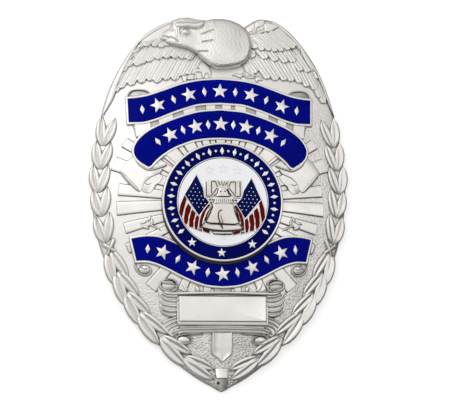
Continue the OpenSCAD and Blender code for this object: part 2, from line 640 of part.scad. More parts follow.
module number_plate() {
    y = place([0, NUMBER_Y]).y;
    b = number_bevel;
    color("whitesmoke") intersection() {
        translate([0, y + number_h / 2, number_low_z]) rotate([90, 0, 0]) linear_extrude(number_h)
            polygon([[-number_w / 2, 0], [number_w / 2, 0], [number_w / 2, number_t - b],
                [number_w / 2 - b, number_t], [-number_w / 2 + b, number_t], [-number_w / 2, number_t - b]]);
        translate([-number_w / 2, y, number_low_z]) rotate([90, 0, 90]) linear_extrude(number_w)
            polygon([[-number_h / 2, 0], [number_h / 2, 0], [number_h / 2, number_t - b],
                [number_h / 2 - b, number_t], [-number_h / 2 + 2 * b, number_t],
                [-number_h / 2, number_t - b]]);
    }
}

// An outline of the seal at its size
module seal_shape(points) { polygon(points * seal_r / 100); }
module seal_extrusion(low, high) {
    translate([0, place([0, SEAL_Y]).y, low]) linear_extrude(high - low) children();
}
module flag_shapes() {
    seal_shape(CANTON);
    for (s = STRIPES) seal_shape(s);
}
module bell_shape() {
    seal_shape(concat(BELL, [for (i = [len(BELL) - 1 : -1 : 0]) mirrored(BELL[i])]));
    seal_shape(FRAME_POST);
    mirror([1, 0]) seal_shape(FRAME_POST);
    seal_shape(YOKE);
    mirror([1, 0]) seal_shape(YOKE);
}
// Metal round a flag's enamels, with the narrow gaps between them closed
module flag_metal() {
    offset(delta = -FLAG_CLOSE) offset(delta = line_w + FLAG_CLOSE) flag_shapes();
}
module seal_metal_shape() {
    bell_shape();
    flag_metal();
    mirror([1, 0]) flag_metal();
}
module seal_stars(grow) {
    for (a = SEAL_STARS)
        translate([star_ring_r * sin(a), -star_ring_r * cos(a)]) polygon(star(seal_star_r + 2 * grow, STAR_NOTCH));
}

module seal_disc() {
    color("gainsboro") {
        seal_extrusion(seal_low_z, seal_floor_z) circle(r = seal_r, $fn = 96);
        seal_extrusion(seal_floor_z, seal_top_z) {
            difference() {
                circle(r = seal_r, $fn = 96);
                circle(r = ring_outer_r, $fn = 96);
            }
            difference() {
                circle(r = ring_inner_r, $fn = 96);
                circle(r = field_r, $fn = 96);
            }
            seal_stars(0);
            difference() {
                seal_metal_shape();
                flag_shapes();
                mirror([1, 0]) flag_shapes();
            }
        }
        seal_extrusion(seal_floor_z, seal_top_z + bell_rise) bell_shape();
    }
}
module seal_ring_enamel() {
    color("midnightblue") seal_extrusion(seal_floor_z + gap, seal_top_z) difference() {
        circle(r = ring_outer_r - gap, $fn = 96);
        circle(r = ring_inner_r + gap, $fn = 96);
        seal_stars(gap);
    }
}
module seal_field_enamel() {
    color("ghostwhite") seal_extrusion(seal_floor_z + gap, seal_top_z) difference() {
        circle(r = field_r - gap, $fn = 96);
        offset(delta = gap) seal_metal_shape();
    }
}
module canton() {
    color("navy") seal_extrusion(seal_floor_z + gap, seal_top_z) offset(delta = -gap) seal_shape(CANTON);
}
module stripes() {
    color("darkred") seal_extrusion(seal_floor_z + gap, seal_top_z) offset(delta = -gap)
        for (s = STRIPES) seal_shape(s);
}
module canton_enamel_right() { canton(); }
module canton_enamel_left() { mirror([1, 0, 0]) canton(); }
module stripe_enamel_right() { stripes(); }
module stripe_enamel_left() { mirror([1, 0, 0]) stripes(); }

module pin_block(y) {
    translate([-pin_block_w / 2, y - pin_block_l / 2, pin_lift])
        cube([pin_block_w, pin_block_l, pin_seat_z - gap - pin_lift]);
}
module pin_back() {
    color("silver") {
        pin_block(pin_l / 2);
        pin_block(-pin_l / 2);
        translate([0, pin_l / 2, pin_lift + pin_d / 2 + PIN_CLEAR]) rotate([90, 0, 0])
            cylinder(d = pin_d, h = pin_l, $fn = 32);
    }
}

shield_body();
enamel_ribbon_top();
enamel_ribbon_middle();
enamel_ribbon_bottom();
number_plate();
seal_disc();
seal_ring_enamel();
seal_field_enamel();
canton_enamel_left();
canton_enamel_right();
stripe_enamel_left();
stripe_enamel_right();
pin_back();
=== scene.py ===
"""A police shield badge of plated metal and fired enamel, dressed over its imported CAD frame.

Lengths in the tables are millimetres in the frame of the part: +Y runs towards the eagle and
+Z out of the face. Every piece is a surface worked out on a grid of two parameters.
"""

import bpy
import numpy as np
from bpy.props import FloatProperty, FloatVectorProperty, PointerProperty
from mathutils import Matrix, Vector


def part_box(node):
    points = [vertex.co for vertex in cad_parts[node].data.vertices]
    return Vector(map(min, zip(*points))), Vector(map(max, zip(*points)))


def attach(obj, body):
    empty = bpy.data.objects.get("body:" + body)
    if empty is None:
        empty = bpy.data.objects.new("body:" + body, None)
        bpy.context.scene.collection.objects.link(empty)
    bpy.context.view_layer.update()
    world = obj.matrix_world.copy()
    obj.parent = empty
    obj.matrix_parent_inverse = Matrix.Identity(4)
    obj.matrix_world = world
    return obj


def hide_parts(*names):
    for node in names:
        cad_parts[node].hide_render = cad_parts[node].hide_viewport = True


bl_info = {
    "name": "Police shield badge",
    "version": (1, 0, 0),
    "blender": (4, 5, 0),
    "location": "View3D > Sidebar > Badge",
    "description": "Builds the pieces, finishes and stage of a plated shield badge",
    "category": "Add Mesh",
}

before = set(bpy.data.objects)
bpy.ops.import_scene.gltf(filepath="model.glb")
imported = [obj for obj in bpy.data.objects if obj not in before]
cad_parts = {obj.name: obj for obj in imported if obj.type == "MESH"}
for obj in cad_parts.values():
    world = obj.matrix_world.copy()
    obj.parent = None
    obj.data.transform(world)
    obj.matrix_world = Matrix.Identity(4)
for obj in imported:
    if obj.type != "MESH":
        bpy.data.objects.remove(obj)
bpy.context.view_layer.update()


def length(name, text, millimetres):
    """A length of the panel, given in millimetres."""
    default = millimetres / 1000
    return FloatProperty(name=name, description=text, default=default, unit="LENGTH", precision=5)


def colour(name, text, rgb):
    """A colour of the panel."""
    return FloatVectorProperty(
        name=name, description=text, default=(*rgb, 1.0), size=4, subtype="COLOR", min=0.0, max=1.0
    )


def share(name, text, value, top=1.0):
    """A share of the panel, from nothing to its top."""
    return FloatProperty(name=name, description=text, default=value, min=0.0, max=top, subtype="FACTOR")


class BadgeSizes(bpy.types.PropertyGroup):
    """Main sizes of the badge"""

    shield_width: length("Shield width", "Width of the shield over the wreath", 54)
    shield_height: length("Shield height", "Height from the tip to the crown", 79.6)
    dome_rise: length("Dome rise", "Rise of the face from its rim to its middle", 5)
    plate: length("Plate", "Thickness of the struck plate", 1.6)
    leaf_rise: length("Leaf rise", "Height of a laurel leaf over the face", 0.85)
    leaf_half: length("Leaf half width", "Half width of a laurel leaf", 1.14)
    breast_rise: length("Breast rise", "Height of the eagle's breast over the face", 2.9)
    head_rise: length("Head rise", "Height of the eagle's head over the face", 2.1)
    ray_rise: length("Ray rise", "Height of the rays over the face", 0.33)
    rim_width: length("Rim width", "Width of the metal rim round a ribbon", 0.5)
    rim_rise: length("Rim rise", "Height of that rim over the face", 0.8)
    star_radius: length("Star radius", "Radius of the ribbons' stars over their points", 1.7)
    seal_diameter: length("Seal diameter", "Diameter of the seal", 25.4)
    seal_top: length("Seal top", "Level of the seal's enamel", 8.4)
    number_width: length("Number plate width", "Width of the number plate", 18.5)
    number_height: length("Number plate height", "Height of the number plate", 5.7)


class BadgeFinish(bpy.types.PropertyGroup):
    """Colours and finishes of the badge"""

    silver: colour("Silver", "Plated metal on open faces", (0.88, 0.862, 0.84))
    # The recess colour is tarnish in the hollows and painted shade in recesses and on steep walls
    tarnish_and_shade: colour("Tarnish", "Plated metal in its recesses", (0.035, 0.036, 0.04))
    blue: colour("Blue", "Enamel of the ribbons", (0.001, 0.0045, 0.285))
    navy: colour("Navy", "Enamel of the seal's ring", (0.001, 0.004, 0.14))
    white: colour("White", "Enamel of the seal's field", (0.93, 0.96, 1.0))
    red: colour("Red", "Enamel of the stripes", (0.155, 0.007, 0.0055))
    metal_roughness: share("Metal roughness", "Roughness of the open metal", 0.34)
    enamel_roughness: share("Enamel roughness", "Roughness of the enamel", 0.16)
    floor: colour("Floor", "The surface that the badge lies on", (0.93, 0.93, 0.93))
    sky: share("Sky", "Strength of the studio's even light", 0.925, 4.0)


def mm(name):
    """A size in millimetres."""
    return getattr(bpy.context.scene.badge_sizes, name) * 1000


def finish(name):
    """A colour or share of the finish."""
    value = getattr(bpy.context.scene.badge_finish, name)
    return tuple(value) if hasattr(value, "__len__") else value


# Outline of the shield. Columns: angle from the top in degrees, then the reach on the right and
# on the left as a share of the half width and half height
OUTLINE = np.array([
    [0, 1.0, 1.0], [7, 0.985, 1.0], [12.5, 0.98, 1.02], [15, 1.03, 1.04], [17, 1.06, 1.05],
    [20.5, 1.082, 1.058], [24, 1.096, 1.068], [31, 1.098, 1.082], [37, 1.088, 1.078], [44, 1.078, 1.068],
    [48, 1.07, 1.062], [54, 1.054, 1.054], [61, 1.034, 1.036], [70, 1.012, 1.01], [77, 1.0, 1.0],
    [89, 0.99, 0.99], [97, 0.965, 0.975], [105, 0.946, 0.955], [111, 0.928, 0.935], [120, 0.908, 0.912],
    [128, 0.893, 0.896], [137, 0.88, 0.882], [146, 0.884, 0.884], [157, 0.908, 0.908], [165, 0.93, 0.93],
    [176, 0.97, 0.97], [180, 1, 1],
])
ANGLES = np.arange(-180, 180.5, 0.5)
ROUGH = np.where(ANGLES > 0, np.interp(np.abs(ANGLES), OUTLINE[:, 0], OUTLINE[:, 1]),
                 np.interp(np.abs(ANGLES), OUTLINE[:, 0], OUTLINE[:, 2]))
KERNEL = np.exp(-0.5 * (np.arange(-12, 13) / 3.4) ** 2)
SMOOTH = np.convolve(np.pad(ROUGH, 12, mode="edge"), KERNEL / KERNEL.sum(), "valid")


def reach(x, y):
    """How far a place lies from the middle, as a share of the outline's reach that way."""
    sx, sy = 2 * x / mm("shield_width"), 2 * y / mm("shield_height")
    return np.hypot(sx, sy) / np.interp(np.degrees(np.arctan2(sx, sy)), ANGLES, SMOOTH)


def face_z(x, y):
    """Height of the face: plate + dome rise times one less the square of the reach."""
    return mm("plate") + mm("dome_rise") * (1 - np.minimum(reach(x, y), 1) ** 2)


def seal_z(x, _y):
    """Level of the seal's enamel, the ground of everything on the seal."""
    return np.full_like(x, mm("seal_top"))


def mirrored(shape):
    """The same shape on the other side of the middle line, its faces turned back outwards."""
    v, q, t = shape
    return v * [-1, 1, 1], q[:, ::-1], t[:, ::-1]


def outward(v, q, t):
    """Turns all faces of a closed shape over if its volume, summed over them, is negative."""
    tri = np.concatenate([q[:, :3], q[:, [0, 2, 3]], t])
    a, b, c = v[tri[:, 0]], v[tri[:, 1]], v[tri[:, 2]]
    middle = v.mean(0)
    if np.einsum("ij,ij->", a - middle, np.cross(b - middle, c - middle)) < 0:
        return v, q[:, ::-1], t[:, ::-1]
    return v, q, t


def loft(rings, around=False, peak=0.0):
    """Skin over rings[i, j]: ring follows ring along i, and each is closed along j. The ends are
    closed by fans from their mean points, or with around the last ring joins the first."""
    nu, nv = rings.shape[:2]
    idx = np.arange(nu * nv).reshape(nu, nv)
    a = idx if around else idx[:-1]
    b = np.roll(idx, -1, 0) if around else idx[1:]
    quads = np.stack([a, b, np.roll(b, -1, 1), np.roll(a, -1, 1)], -1).reshape(-1, 4)
    v = rings.reshape(-1, 3)
    if around:
        return outward(v, quads, np.zeros((0, 3), int))
    ends = np.stack([rings[0].mean(0), rings[-1].mean(0) + [0, 0, peak]])
    first, last = idx[0], idx[-1]
    fans = np.concatenate([
        np.stack([first, np.roll(first, -1), np.full(nv, nu * nv)], -1),
        np.stack([np.roll(last, -1), last, np.full(nv, nu * nv + 1)], -1),
    ])
    return outward(np.concatenate([v, ends]), quads, fans)


def curve(points, u):
    """Places at the shares u of the length of a smooth line (Catmull-Rom) through the points."""
    p = np.asarray(points, float)
    if len(p) == 2:
        return p[0] + (p[1] - p[0]) * np.asarray(u)[:, None]
    q = np.concatenate([[2 * p[0] - p[1]], p, [2 * p[-1] - p[-2]]])
    s = np.linspace(0, len(p) - 1, 24 * len(p))
    i = np.minimum(s.astype(int), len(p) - 2)
    t = (s - i)[:, None]
    a, b, c, d = q[i], q[i + 1], q[i + 2], q[i + 3]
    line = 0.5 * (2 * b + (c - a) * t + (2 * a - 5 * b + 4 * c - d) * t**2 + (3 * b - a - 3 * c + d) * t**3)
    return along(line, u)


def along(line, u):
    """Places at the shares u of the length of a line of straight stretches."""
    line = np.asarray(line, float)
    gone = np.concatenate([[0], np.cumsum(np.linalg.norm(np.diff(line, axis=0), axis=1))])
    places = np.asarray(u) * gone[-1]
    return np.stack([np.interp(places, gone, line[:, k]) for k in range(line.shape[1])], -1)


def sides(line):
    """Unit vectors to the left of a line of places."""
    d = np.gradient(line, axis=0)
    d /= np.maximum(np.linalg.norm(d, axis=1, keepdims=True), 1e-9)
    return np.stack([-d[:, 1], d[:, 0]], -1)


def spread(values, u):
    """A number, or numbers at even shares, read at the shares u."""
    values = np.atleast_1d(np.asarray(values, float))
    return np.interp(u, np.linspace(0, 1, len(values)), values)


def round_form(v):
    """Half a circle over v from -1 to 1."""
    return np.sqrt(np.maximum(1 - v**2, 0))


def flat_form(v):
    """A flatter back with rounder edges."""
    return round_form(v) ** 0.45


def strand(points, half, rise, low=-0.5, ends=(0.25, 0.25), n=20, m=11, form=round_form, edge=0.12,
           ground=face_z, tip_rise=0.35, straight=False):
    """A raised form along a line C(u). Its section is C + side * w(u) * v at the height ground +
    rise(u) * (edge + (1 - edge) * form(v)), for v = cos(a) from 1 to -1, and goes down to low.
    Towards each end w and the rise follow a quarter ellipse over the given share of the length."""
    u = 0.5 - 0.5 * np.cos(np.pi * np.linspace(0, 1, n))
    c = along(points, u) if straight else curve(points, u)
    side = sides(c)
    env = np.ones(n)
    for k, e in enumerate(ends):
        if e > 0:
            near = np.minimum((u if k == 0 else 1 - u) / e, 1)
            env *= np.sqrt(np.maximum(1 - (1 - near) ** 2, 0.0004))
    w = spread(half, u) * env
    r = spread(rise, u) * (tip_rise + (1 - tip_rise) * env)
    v = np.cos(np.linspace(0, np.pi, m))
    off = np.concatenate([v, [-1, 1]])
    xy = c[:, None] + side[:, None] * (w[:, None] * off)[..., None]
    z = ground(xy[..., 0], xy[..., 1])
    z[:, :m] += r[:, None] * (edge + (1 - edge) * form(v))
    z[:, m:] += low
    return loft(np.dstack([xy, z]))


def pad(left, right, low, high, n=40, soft=0.12, belly=0.0, ground=face_z, smooth=True):
    """A form between a left and a right edge. Its section runs up at the left edge, over a
    rounded corner, across with a belly of high + belly * sin, and down at the right edge."""
    u = np.linspace(0, 1, n)
    read = curve if smooth else along
    a, b = read(left, u), read(right, u)
    wide = np.maximum(np.linalg.norm(b - a, axis=1), 1e-6)
    r = np.minimum(soft, wide * 0.3) / wide
    high = spread(high, u)[:, None]
    v = np.concatenate([[0, 0], [0.08], [0.3], [1.0]])
    s = np.concatenate([r[:, None] * v, np.linspace(0, 1, 7)[1:-1] * (1 - 2 * r)[:, None] + r[:, None],
                        1 - r[:, None] * v[::-1]], 1)
    drop = np.array([0, 1, 0.62, 0.29, 0, 0, 0, 0, 0, 0, 0, 0.29, 0.62, 1, 0]) * soft
    up = high * ([0] + [1] * 13 + [0]) - drop
    xy = a[:, None] + (b - a)[:, None] * s[..., None]
    z = ground(xy[..., 0], xy[..., 1]) + up + belly * np.sin(np.pi * s)
    z[:, [0, -1]] += low
    return loft(np.dstack([xy, z]))


def sweep(path, profile, ground=face_z):
    """A profile of (distance to the left, height) carried round a closed path, each section in
    the plane that halves the path's corner."""
    path = np.asarray(path, float)
    before, after = path - np.roll(path, 1, 0), np.roll(path, -1, 0) - path
    before /= np.linalg.norm(before, axis=1, keepdims=True)
    after /= np.linalg.norm(after, axis=1, keepdims=True)
    d = before + after
    d /= np.linalg.norm(d, axis=1, keepdims=True)
    side = np.stack([-d[:, 1], d[:, 0]], -1)
    stretch = 1 / np.maximum((d * after).sum(1), 0.6)
    profile = np.asarray(profile, float)
    xy = path[:, None] + side[:, None] * (profile[:, 0] * stretch[:, None])[..., None]
    z = ground(xy[..., 0], xy[..., 1]) + profile[:, 1]
    return loft(np.dstack([xy, z]), around=True)


def thread(path, half, shoulder, top, low=-0.3, ground=face_z):
    """A thin ridge round a closed path, highest along its middle."""
    profile = [(half, low), (half, shoulder), (0, top), (-half, shoulder), (-half, low)]
    return sweep(path, profile, ground)


def closed(points, count):
    """Places at even shares round an outline."""
    return along([*points, points[0]], np.linspace(0, 1, count)[:-1])


def heading(angle):
    """The direction at an angle in degrees from the top, clockwise."""
    a = np.radians(angle)
    return np.array([np.sin(a), np.cos(a)])


def ellipse(x, y, rx, ry, turn=0.0, n=32, start=0.0, stop=360.0):
    """Places on an ellipse round (x, y), turned by an angle."""
    a = np.radians(np.linspace(start, stop, n, endpoint=stop - start < 360))
    c, s = np.cos(np.radians(turn)), np.sin(np.radians(turn))
    px, py = rx * np.cos(a), ry * np.sin(a)
    return np.stack([x + px * c - py * s, y + px * s + py * c], -1)


def ball(x, y, rx, ry, rise, turn=0.0, low=-0.5, ground=face_z, n=28, rings=8):
    """A rounded form: rings of shrinking ellipses, share cos(t), at the height rise * sin(t)."""
    t = np.linspace(0, np.pi / 2 - 0.08, rings)
    scale = np.concatenate([[1], np.cos(t)])
    up = np.concatenate([[low], rise * np.sin(t)])
    base = ellipse(0, 0, rx, ry, turn, n)
    xy = base[None] * scale[:, None, None] + [x, y]
    z = ground(xy[..., 0], xy[..., 1]) + up[:, None]
    return loft(np.dstack([xy, z]))


def prism(points, low, high, bevel=0.12, inset=0.86, ground=face_z, peak=0.0):
    """A flat-topped form of one outline: walls to high - bevel, then in towards its mean."""
    points = np.asarray(points, float)
    middle = points.mean(0)
    inner = middle + (points - middle) * inset
    xy = np.stack([points, points, inner])
    z = ground(xy[..., 0], xy[..., 1]) + np.array([low, high - bevel, high])[:, None]
    return loft(np.dstack([xy, z]), peak=peak)


def rounded_box(x, y, w, h, r):
    """A rectangle with small round corners, as a ring of places."""
    a = np.radians(np.array([0, 30, 60, 90]))
    quarter = np.stack([np.cos(a), np.sin(a)], -1) * r + [w - r, h - r]
    left = (quarter * [-1, 1])[::-1]
    return np.concatenate([quarter, left, -quarter, -left]) + [x, y]


def block(x, y, w, h, steps, r=0.12):
    """A block of rounded rectangles, one for each step of (distance drawn in, level)."""
    rings = [np.column_stack([rounded_box(x, y, w - d, h - d, r), np.full(16, z)]) for d, z in steps]
    return loft(np.stack(rings))


def lathe(profile, middle, n=192, around=False):
    """A profile of (radius, level) turned round a vertical axis."""
    profile = np.asarray(profile, float)
    a = np.linspace(0, 2 * np.pi, n, endpoint=False)
    x = middle[0] + profile[:, :1] * np.cos(a)
    y = middle[1] + profile[:, :1] * np.sin(a)
    z = np.broadcast_to(profile[:, 1:], x.shape)
    return loft(np.dstack([x, y, z]), around=around)


def inside(outline, x, y):
    """Distance to a closed outline, positive inside it and negative outside."""
    p = np.asarray(outline, float)
    q = np.roll(p, -1, 0)
    d = q - p
    wx, wy = x[..., None] - p[:, 0], y[..., None] - p[:, 1]
    t = np.clip((wx * d[:, 0] + wy * d[:, 1]) / (d**2).sum(1), 0, 1)
    far = np.hypot(wx - d[:, 0] * t, wy - d[:, 1] * t).min(-1)
    above, crosses = p[:, 1] > y[..., None], q[:, 1] > y[..., None]
    rise = np.where(np.abs(d[:, 1]) < 1e-9, 1e-9, d[:, 1])
    hits = (above != crosses) & (wx < wy / rise * d[:, 0])
    return np.where(hits.sum(-1) % 2 == 1, far, -far)


def away(line, x, y):
    """Distance to an open line."""
    p = np.asarray(line, float)
    d = np.diff(p, axis=0)
    wx, wy = x[..., None] - p[:-1, 0], y[..., None] - p[:-1, 1]
    t = np.clip((wx * d[:, 0] + wy * d[:, 1]) / np.maximum((d**2).sum(1), 1e-9), 0, 1)
    return np.hypot(wx - d[:, 0] * t, wy - d[:, 1] * t).min(-1)


def relief(x0, y0, x1, y1, pitch, height, low=-0.35, rim=9.0):
    """A height field over the face: z = face + height(x, y) on a square grid, kept where it stands
    over the face, closed below by the same grid at low and by walls round its edge."""
    x, y = np.meshgrid(np.arange(x0, x1, pitch), np.arange(y0, y1, pitch), indexing="ij")
    h = np.maximum(np.where(reach(x, y) > rim, -1.0, height(x, y)), low + 0.1)
    top = np.dstack([x, y, face_z(x, y) + h]).reshape(-1, 3)
    under = np.dstack([x, y, face_z(x, y) + low]).reshape(-1, 3)
    idx = np.arange(x.size).reshape(x.shape)
    corners = np.stack([h[:-1, :-1], h[1:, :-1], h[1:, 1:], h[:-1, 1:]]).max(0)
    keep = np.zeros((x.shape[0] + 1, x.shape[1] + 1), bool)
    keep[1:-1, 1:-1] = corners > low + 0.15
    cell = np.stack([idx[:-1, :-1], idx[1:, :-1], idx[1:, 1:], idx[:-1, 1:]], -1)
    kept = cell[keep[1:-1, 1:-1]]
    count = x.size
    parts = [kept, kept[:, ::-1] + count]
    beside = ((keep[1:-1, :-2], 0, 1), (keep[2:, 1:-1], 1, 2), (keep[1:-1, 2:], 2, 3),
              (keep[:-2, 1:-1], 3, 0))
    for other, a, b in beside:
        edge = cell[keep[1:-1, 1:-1] & ~other]
        parts.append(np.stack([edge[:, a], edge[:, a] + count, edge[:, b] + count, edge[:, b]], -1))
    quads = np.concatenate(parts)
    used, renumbered = np.unique(quads, return_inverse=True)
    v = np.concatenate([top, under])[used]
    return v, renumbered.reshape(quads.shape), np.zeros((0, 3), int)


def put(name, shapes, material, nodes=("shield_body",), crease=38):
    """One object from several shapes, in metres, riding on the badge and standing for its nodes."""
    starts = np.cumsum([0] + [len(s[0]) for s in shapes])
    v = np.concatenate([s[0] for s in shapes]) / 1000
    q = np.concatenate([s[1] + k for s, k in zip(shapes, starts)])
    t = np.concatenate([s[2] + k for s, k in zip(shapes, starts)])
    mesh = bpy.data.meshes.new(name)
    mesh.vertices.add(len(v))
    mesh.vertices.foreach_set("co", v.astype(np.float32).ravel())
    mesh.loops.add(q.size + t.size)
    mesh.loops.foreach_set("vertex_index", np.concatenate([q.ravel(), t.ravel()]).astype(np.int32))
    mesh.polygons.add(len(q) + len(t))
    first = np.concatenate([np.arange(len(q)) * 4, q.size + np.arange(len(t)) * 3])
    mesh.polygons.foreach_set("loop_start", first.astype(np.int32))
    mesh.update(calc_edges=True)
    if mesh.validate():
        raise RuntimeError(f"{name} has broken faces")
    mesh.set_sharp_from_angle(angle=np.radians(crease))
    mesh.materials.append(finishes()[material])
    piece = bpy.data.objects.new(name, mesh)
    bpy.context.collection.objects.link(piece)
    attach(piece, "root")
    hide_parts(*nodes)
    return piece


def both(shapes):
    """The shapes and their mirror images."""
    return [*shapes, *(mirrored(s) for s in shapes)]


def effect(name, inputs, outputs):
    """A shader node group with named sockets, built once. Returns it, its inputs and outputs."""
    group = bpy.data.node_groups.new(name, "ShaderNodeTree")
    for kind, label in inputs:
        group.interface.new_socket(name=label, in_out="INPUT", socket_type=f"NodeSocket{kind}")
    for kind, label in outputs:
        group.interface.new_socket(name=label, in_out="OUTPUT", socket_type=f"NodeSocket{kind}")
    return group, group.nodes.new("NodeGroupInput").outputs, group.nodes.new("NodeGroupOutput").inputs


def node(tree, kind, links, **values):
    """A node with its settings and its sockets: a link for an output, else a fixed value."""
    made = tree.nodes.new(kind)
    for key, value in values.items():
        setattr(made, key, value)
    for key, value in links.items():
        if isinstance(value, bpy.types.NodeSocket):
            tree.links.new(value, made.inputs[key])
        else:
            made.inputs[key].default_value = value
    return made


def noise(tree, place, scale, detail=2.0, roughness=0.5):
    """Clouds of a size, from 0 to 1."""
    links = {"Vector": place, "Scale": scale, "Detail": detail, "Roughness": roughness}
    return node(tree, "ShaderNodeTexNoise", links).outputs["Fac"]


def maths(tree, operation, a, b=0.0, clamp=False):
    """One sum on two values."""
    return node(tree, "ShaderNodeMath", {0: a, 1: b}, operation=operation, use_clamp=clamp).outputs[0]


def span(tree, value, low, high, to_low=0.0, to_high=1.0):
    """A value read from one range to another, and held at its ends."""
    links = {"Value": value, "From Min": low, "From Max": high, "To Min": to_low, "To Max": to_high}
    return node(tree, "ShaderNodeMapRange", links).outputs["Result"]


def blend(tree, factor, a, b):
    """A colour between a and b."""
    return node(tree, "ShaderNodeMix", {"Factor": factor, 6: a, 7: b}, data_type="RGBA").outputs[2]


# The materials, by name
FINISHES = {}


def plus(tree, a, b, clamp=False):
    """The sum of two values."""
    return maths(tree, "ADD", a, b, clamp)


def times(tree, a, b):
    """The product of two values."""
    return maths(tree, "MULTIPLY", a, b)


def plating_group():
    """Plated metal: tarnish and painted shade in recesses, painted shade on steep walls, cloudy polish,
    cast grain.
    """
    group, given, out = effect(
        "worn_plating",
        [("Color", "Open"), ("Color", "Recess"), ("Float", "Roughness"), ("Float", "Depth"),
         ("Float", "Walls"), ("Float", "Grain")],
        [("Color", "Color"), ("Float", "Roughness"), ("Float", "Height")],
    )
    place = group.nodes.new("ShaderNodeTexCoord").outputs["Object"]
    cloud = noise(group, place, 260.0, 4.0, 0.6)
    speck = noise(group, place, 2500.0, 2.0, 0.55)
    # Ambient occlusion draws the recess colour into recesses: tarnish there, and painted shade
    hidden = node(group, "ShaderNodeAmbientOcclusion", {"Distance": 0.0006}, samples=8).outputs["AO"]
    depth = plus(group, given["Depth"], times(group, cloud, 0.2))
    recess = times(group, span(group, hidden, 0.82, 0.3), depth)
    normal = group.nodes.new("ShaderNodeNewGeometry").outputs["Normal"]
    upright = node(group, "ShaderNodeSeparateXYZ", {"Vector": normal}).outputs["Z"]
    # Painted shade: the steeper a wall, the darker it is painted
    wall_shade = times(group, span(group, upright, 0.72, 0.15), given["Walls"])
    pits = times(group, span(group, speck, 0.53, 0.36), span(group, given["Grain"], 0.25, 1.0, 0.0, 0.3))
    recess = plus(group, plus(group, recess, wall_shade, True), pits, True)
    polish = blend(group, span(group, cloud, 0.35, 0.75, 0.0, 0.07), given["Open"], given["Recess"])
    group.links.new(blend(group, recess, polish, given["Recess"]), out["Color"])
    rough = plus(group, given["Roughness"], span(group, cloud, 0.3, 0.7, -0.04, 0.08))
    group.links.new(plus(group, rough, times(group, recess, 0.25)), out["Roughness"])
    fine = times(group, noise(group, place, 900.0, 3.0), 0.06)
    group.links.new(plus(group, times(group, speck, given["Grain"]), fine), out["Height"])
    return group


def glaze_group():
    """Fired enamel: depth that varies in slow clouds, with a few pits."""
    group, given, out = effect(
        "fired_glaze",
        [("Color", "Glass"), ("Color", "Deep"), ("Float", "Roughness")],
        [("Color", "Color"), ("Float", "Roughness"), ("Float", "Height")],
    )
    place = group.nodes.new("ShaderNodeTexCoord").outputs["Object"]
    cloud = noise(group, place, 220.0, 3.0)
    cells = node(group, "ShaderNodeTexVoronoi", {"Vector": place, "Scale": 900.0}).outputs["Distance"]
    tone = blend(group, span(group, cloud, 0.3, 0.75), given["Glass"], given["Deep"])
    group.links.new(tone, out["Color"])
    rough = plus(group, given["Roughness"], span(group, cloud, 0.3, 0.7, -0.03, 0.06))
    group.links.new(rough, out["Roughness"])
    height = maths(group, "SUBTRACT", times(group, cloud, 0.3), span(group, cells, 0.12, 0.02))
    group.links.new(height, out["Height"])
    return group


def material_from(name, group, values, bump, metallic=0.0, coat=0.0, specular=0.5, painted_glow=0.0, links=None):
    """A Principled material whose colour, roughness and relief come from an effect group."""
    made = bpy.data.materials.new(name)
    made.use_nodes = True
    tree = made.node_tree
    shader = tree.nodes["Principled BSDF"]
    effects = tree.nodes.new("ShaderNodeGroup")
    effects.node_tree = group
    for key, value in values.items():
        effects.inputs[key].default_value = value
    for key, socket in (links(tree) if links else {}).items():
        tree.links.new(socket, effects.inputs[key])
    tree.links.new(effects.outputs["Color"], shader.inputs["Base Color"])
    tree.links.new(effects.outputs["Roughness"], shader.inputs["Roughness"])
    height = {"Height": effects.outputs["Height"], "Distance": bump, "Strength": 1.0}
    tree.links.new(node(tree, "ShaderNodeBump", height).outputs["Normal"], shader.inputs["Normal"])
    shader.inputs["Metallic"].default_value = metallic
    shader.inputs["Coat Weight"].default_value = coat
    shader.inputs["Specular IOR Level"].default_value = specular
    shader.inputs["Coat Roughness"].default_value = 0.04
    # Painted light: the enamel's own colour glows a little
    if painted_glow:
        tree.links.new(effects.outputs["Color"], shader.inputs["Emission Color"])
        shader.inputs["Emission Strength"].default_value = painted_glow
    FINISHES[name] = made


def grain_link(tree):
    """The cast grain follows the piece's own grain attribute."""
    return {"Grain": node(tree, "ShaderNodeAttribute", {}, attribute_name="grain").outputs["Fac"]}


